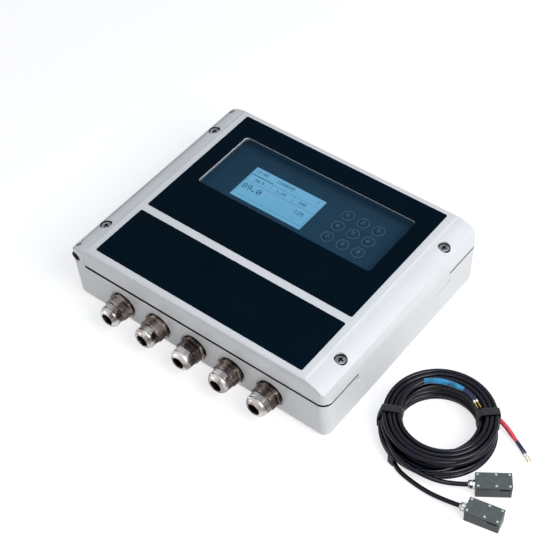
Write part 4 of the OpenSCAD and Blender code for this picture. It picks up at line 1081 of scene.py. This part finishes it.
def makeKeyMarks(face):
    dot = face["dot"]
    rings = []
    for i in range(9):
        x = face["middle"][0] + (i % 3 - 1) * face["pitch"][0]
        y = face["middle"][1] + (1 - i // 3) * face["pitch"][1]
        rings.append(flatRing(x, y, face["ringZ"], *face["ring"], inkDepth))
        digit = str(i + 1)
        parts = dotText(digit, x - 2.5 * dot, y + 3.5 * dot, dot, face["z"])
        newPiece("keyMark" + digit, parts, "paleInk", "key_" + digit, smooth=False)
    newPiece("keyRings", rings, "paleInk", "base", smooth=False)


makeScreenMarks(screenFace)
makeKeyMarks(keyFace)
print("legends made")


# Studio: places and sizes in metres

studio = {
    "paper": {
        "half": 4.0,
        "below": 0.0002,
        "bounce": 0.8,  # how light the paper is for the rays that light the object
        # what the camera sees of it near the object: how light the paper is, and the white laid over it
        "shown": 0.35,
        "lift": 0.72,
        "fade": (0.5, 1.3),  # from here to there it turns into plain white, so that it shows no edge
    },
    "worldGlow": 0.23,
    # light: place, aim, size, watts, colour
    "lights": {
        "keyLight": ((1.15, -0.18, 1.15), (0.06, 0, 0.03), (0.9, 0.9), 24.3, "#ffffff"),
        "frontLight": ((-0.42, -0.5, 0.1), (-0.08, -0.1, 0.03), (0.2, 0.16), 0.33, "#ffffff"),
        "rearLight": ((0.5, 1.35, 0.9), (0.0, 0, 0.03), (0.9, 0.7), 1.5, "#eef5ff"),
        "skyLight": ((0.2, 0.1, 1.7), (0.04, 0, 0.03), (0.8, 0.8), 5.2, "#acd0ff"),
    },
}


def seenRays(tree):
    # 1 for the rays that show the background: from the camera, in a gloss and through glass
    rays = addNode(tree, "LightPath")
    seen = rays, "Is Camera Ray"
    for kind in ("Is Glossy Ray", "Is Transmission Ray"):
        seen = addNode(tree, "Math", {"operation": "MAXIMUM"}, i0=seen, i1=(rays, kind)), "Value"
    return seen


def makeStage(paper):
    half = paper["half"]
    mesh = bpy.data.meshes.new("floor")
    mesh.from_pydata([(a * half, b * half, 0) for a, b in corners.tolist()], [], [(0, 1, 2, 3)])
    floor = bpy.data.objects.new("floor", mesh)
    floor.location.z = -paper["below"]
    bpy.context.scene.collection.objects.link(floor)
    material, tree, shader, place = startMaterial("paperFloor", {"Roughness": 0.9, "Specular IOR Level": 0.0})
    seen = seenRays(tree)
    reach = addNode(tree, "VectorMath", {"operation": "LENGTH"}, i0=place), "Value"
    away = spread(tree, reach, 0.0, 1.0, paper["fade"])
    shown = spread(tree, away, paper["shown"], 0.0)
    glow = spread(tree, away, paper["lift"], 1.0)
    grey = addNode(tree, "MapRange", {"To Min": paper["bounce"]}, Value=seen, To_Max=shown)
    lift = addNode(tree, "MapRange", {"To Min": 0.0}, Value=seen, To_Max=glow)
    feed(tree, shader, Base_Color=(grey, "Result"))
    light = addNode(tree, "Emission", {"Color": (1, 1, 1, 1)}, Strength=(lift, "Result"))
    both = addNode(tree, "AddShader", i0=(shader, "BSDF"), i1=(light, "Emission"))
    feed(tree, tree.nodes["Material Output"], Surface=(both, "Shader"))
    mesh.materials.append(material)


def makeWorld(glow):
    # plain white where it is seen, and an even glow of the given strength on the object
    world = bpy.data.worlds.new("studio")
    world.use_nodes = True
    tree = world.node_tree
    background = tree.nodes["Background"]
    background.inputs["Color"].default_value = (1, 1, 1, 1)
    feed(tree, background, Strength=spread(tree, seenRays(tree), glow, 1.0))
    bpy.context.scene.world = world


def makeLight(name, place, aim, size, power, colour):
    data = bpy.data.lights.new(name, "AREA")
    data.shape = "RECTANGLE"
    data.size, data.size_y = size
    data.energy = power
    data.color = linear(colour)[:3]
    light = bpy.data.objects.new(name, data)
    way = Vector(aim) - Vector(place)
    light.matrix_world = Matrix.Translation(Vector(place)) @ way.to_track_quat("-Z", "Y").to_matrix().to_4x4()
    bpy.context.scene.collection.objects.link(light)


makeStage(studio["paper"])
makeWorld(studio["worldGlow"])
for name, setup in studio["lights"].items():
    makeLight(name, *setup)
bpy.context.scene.view_settings.view_transform = "Standard"
print("studio lit")
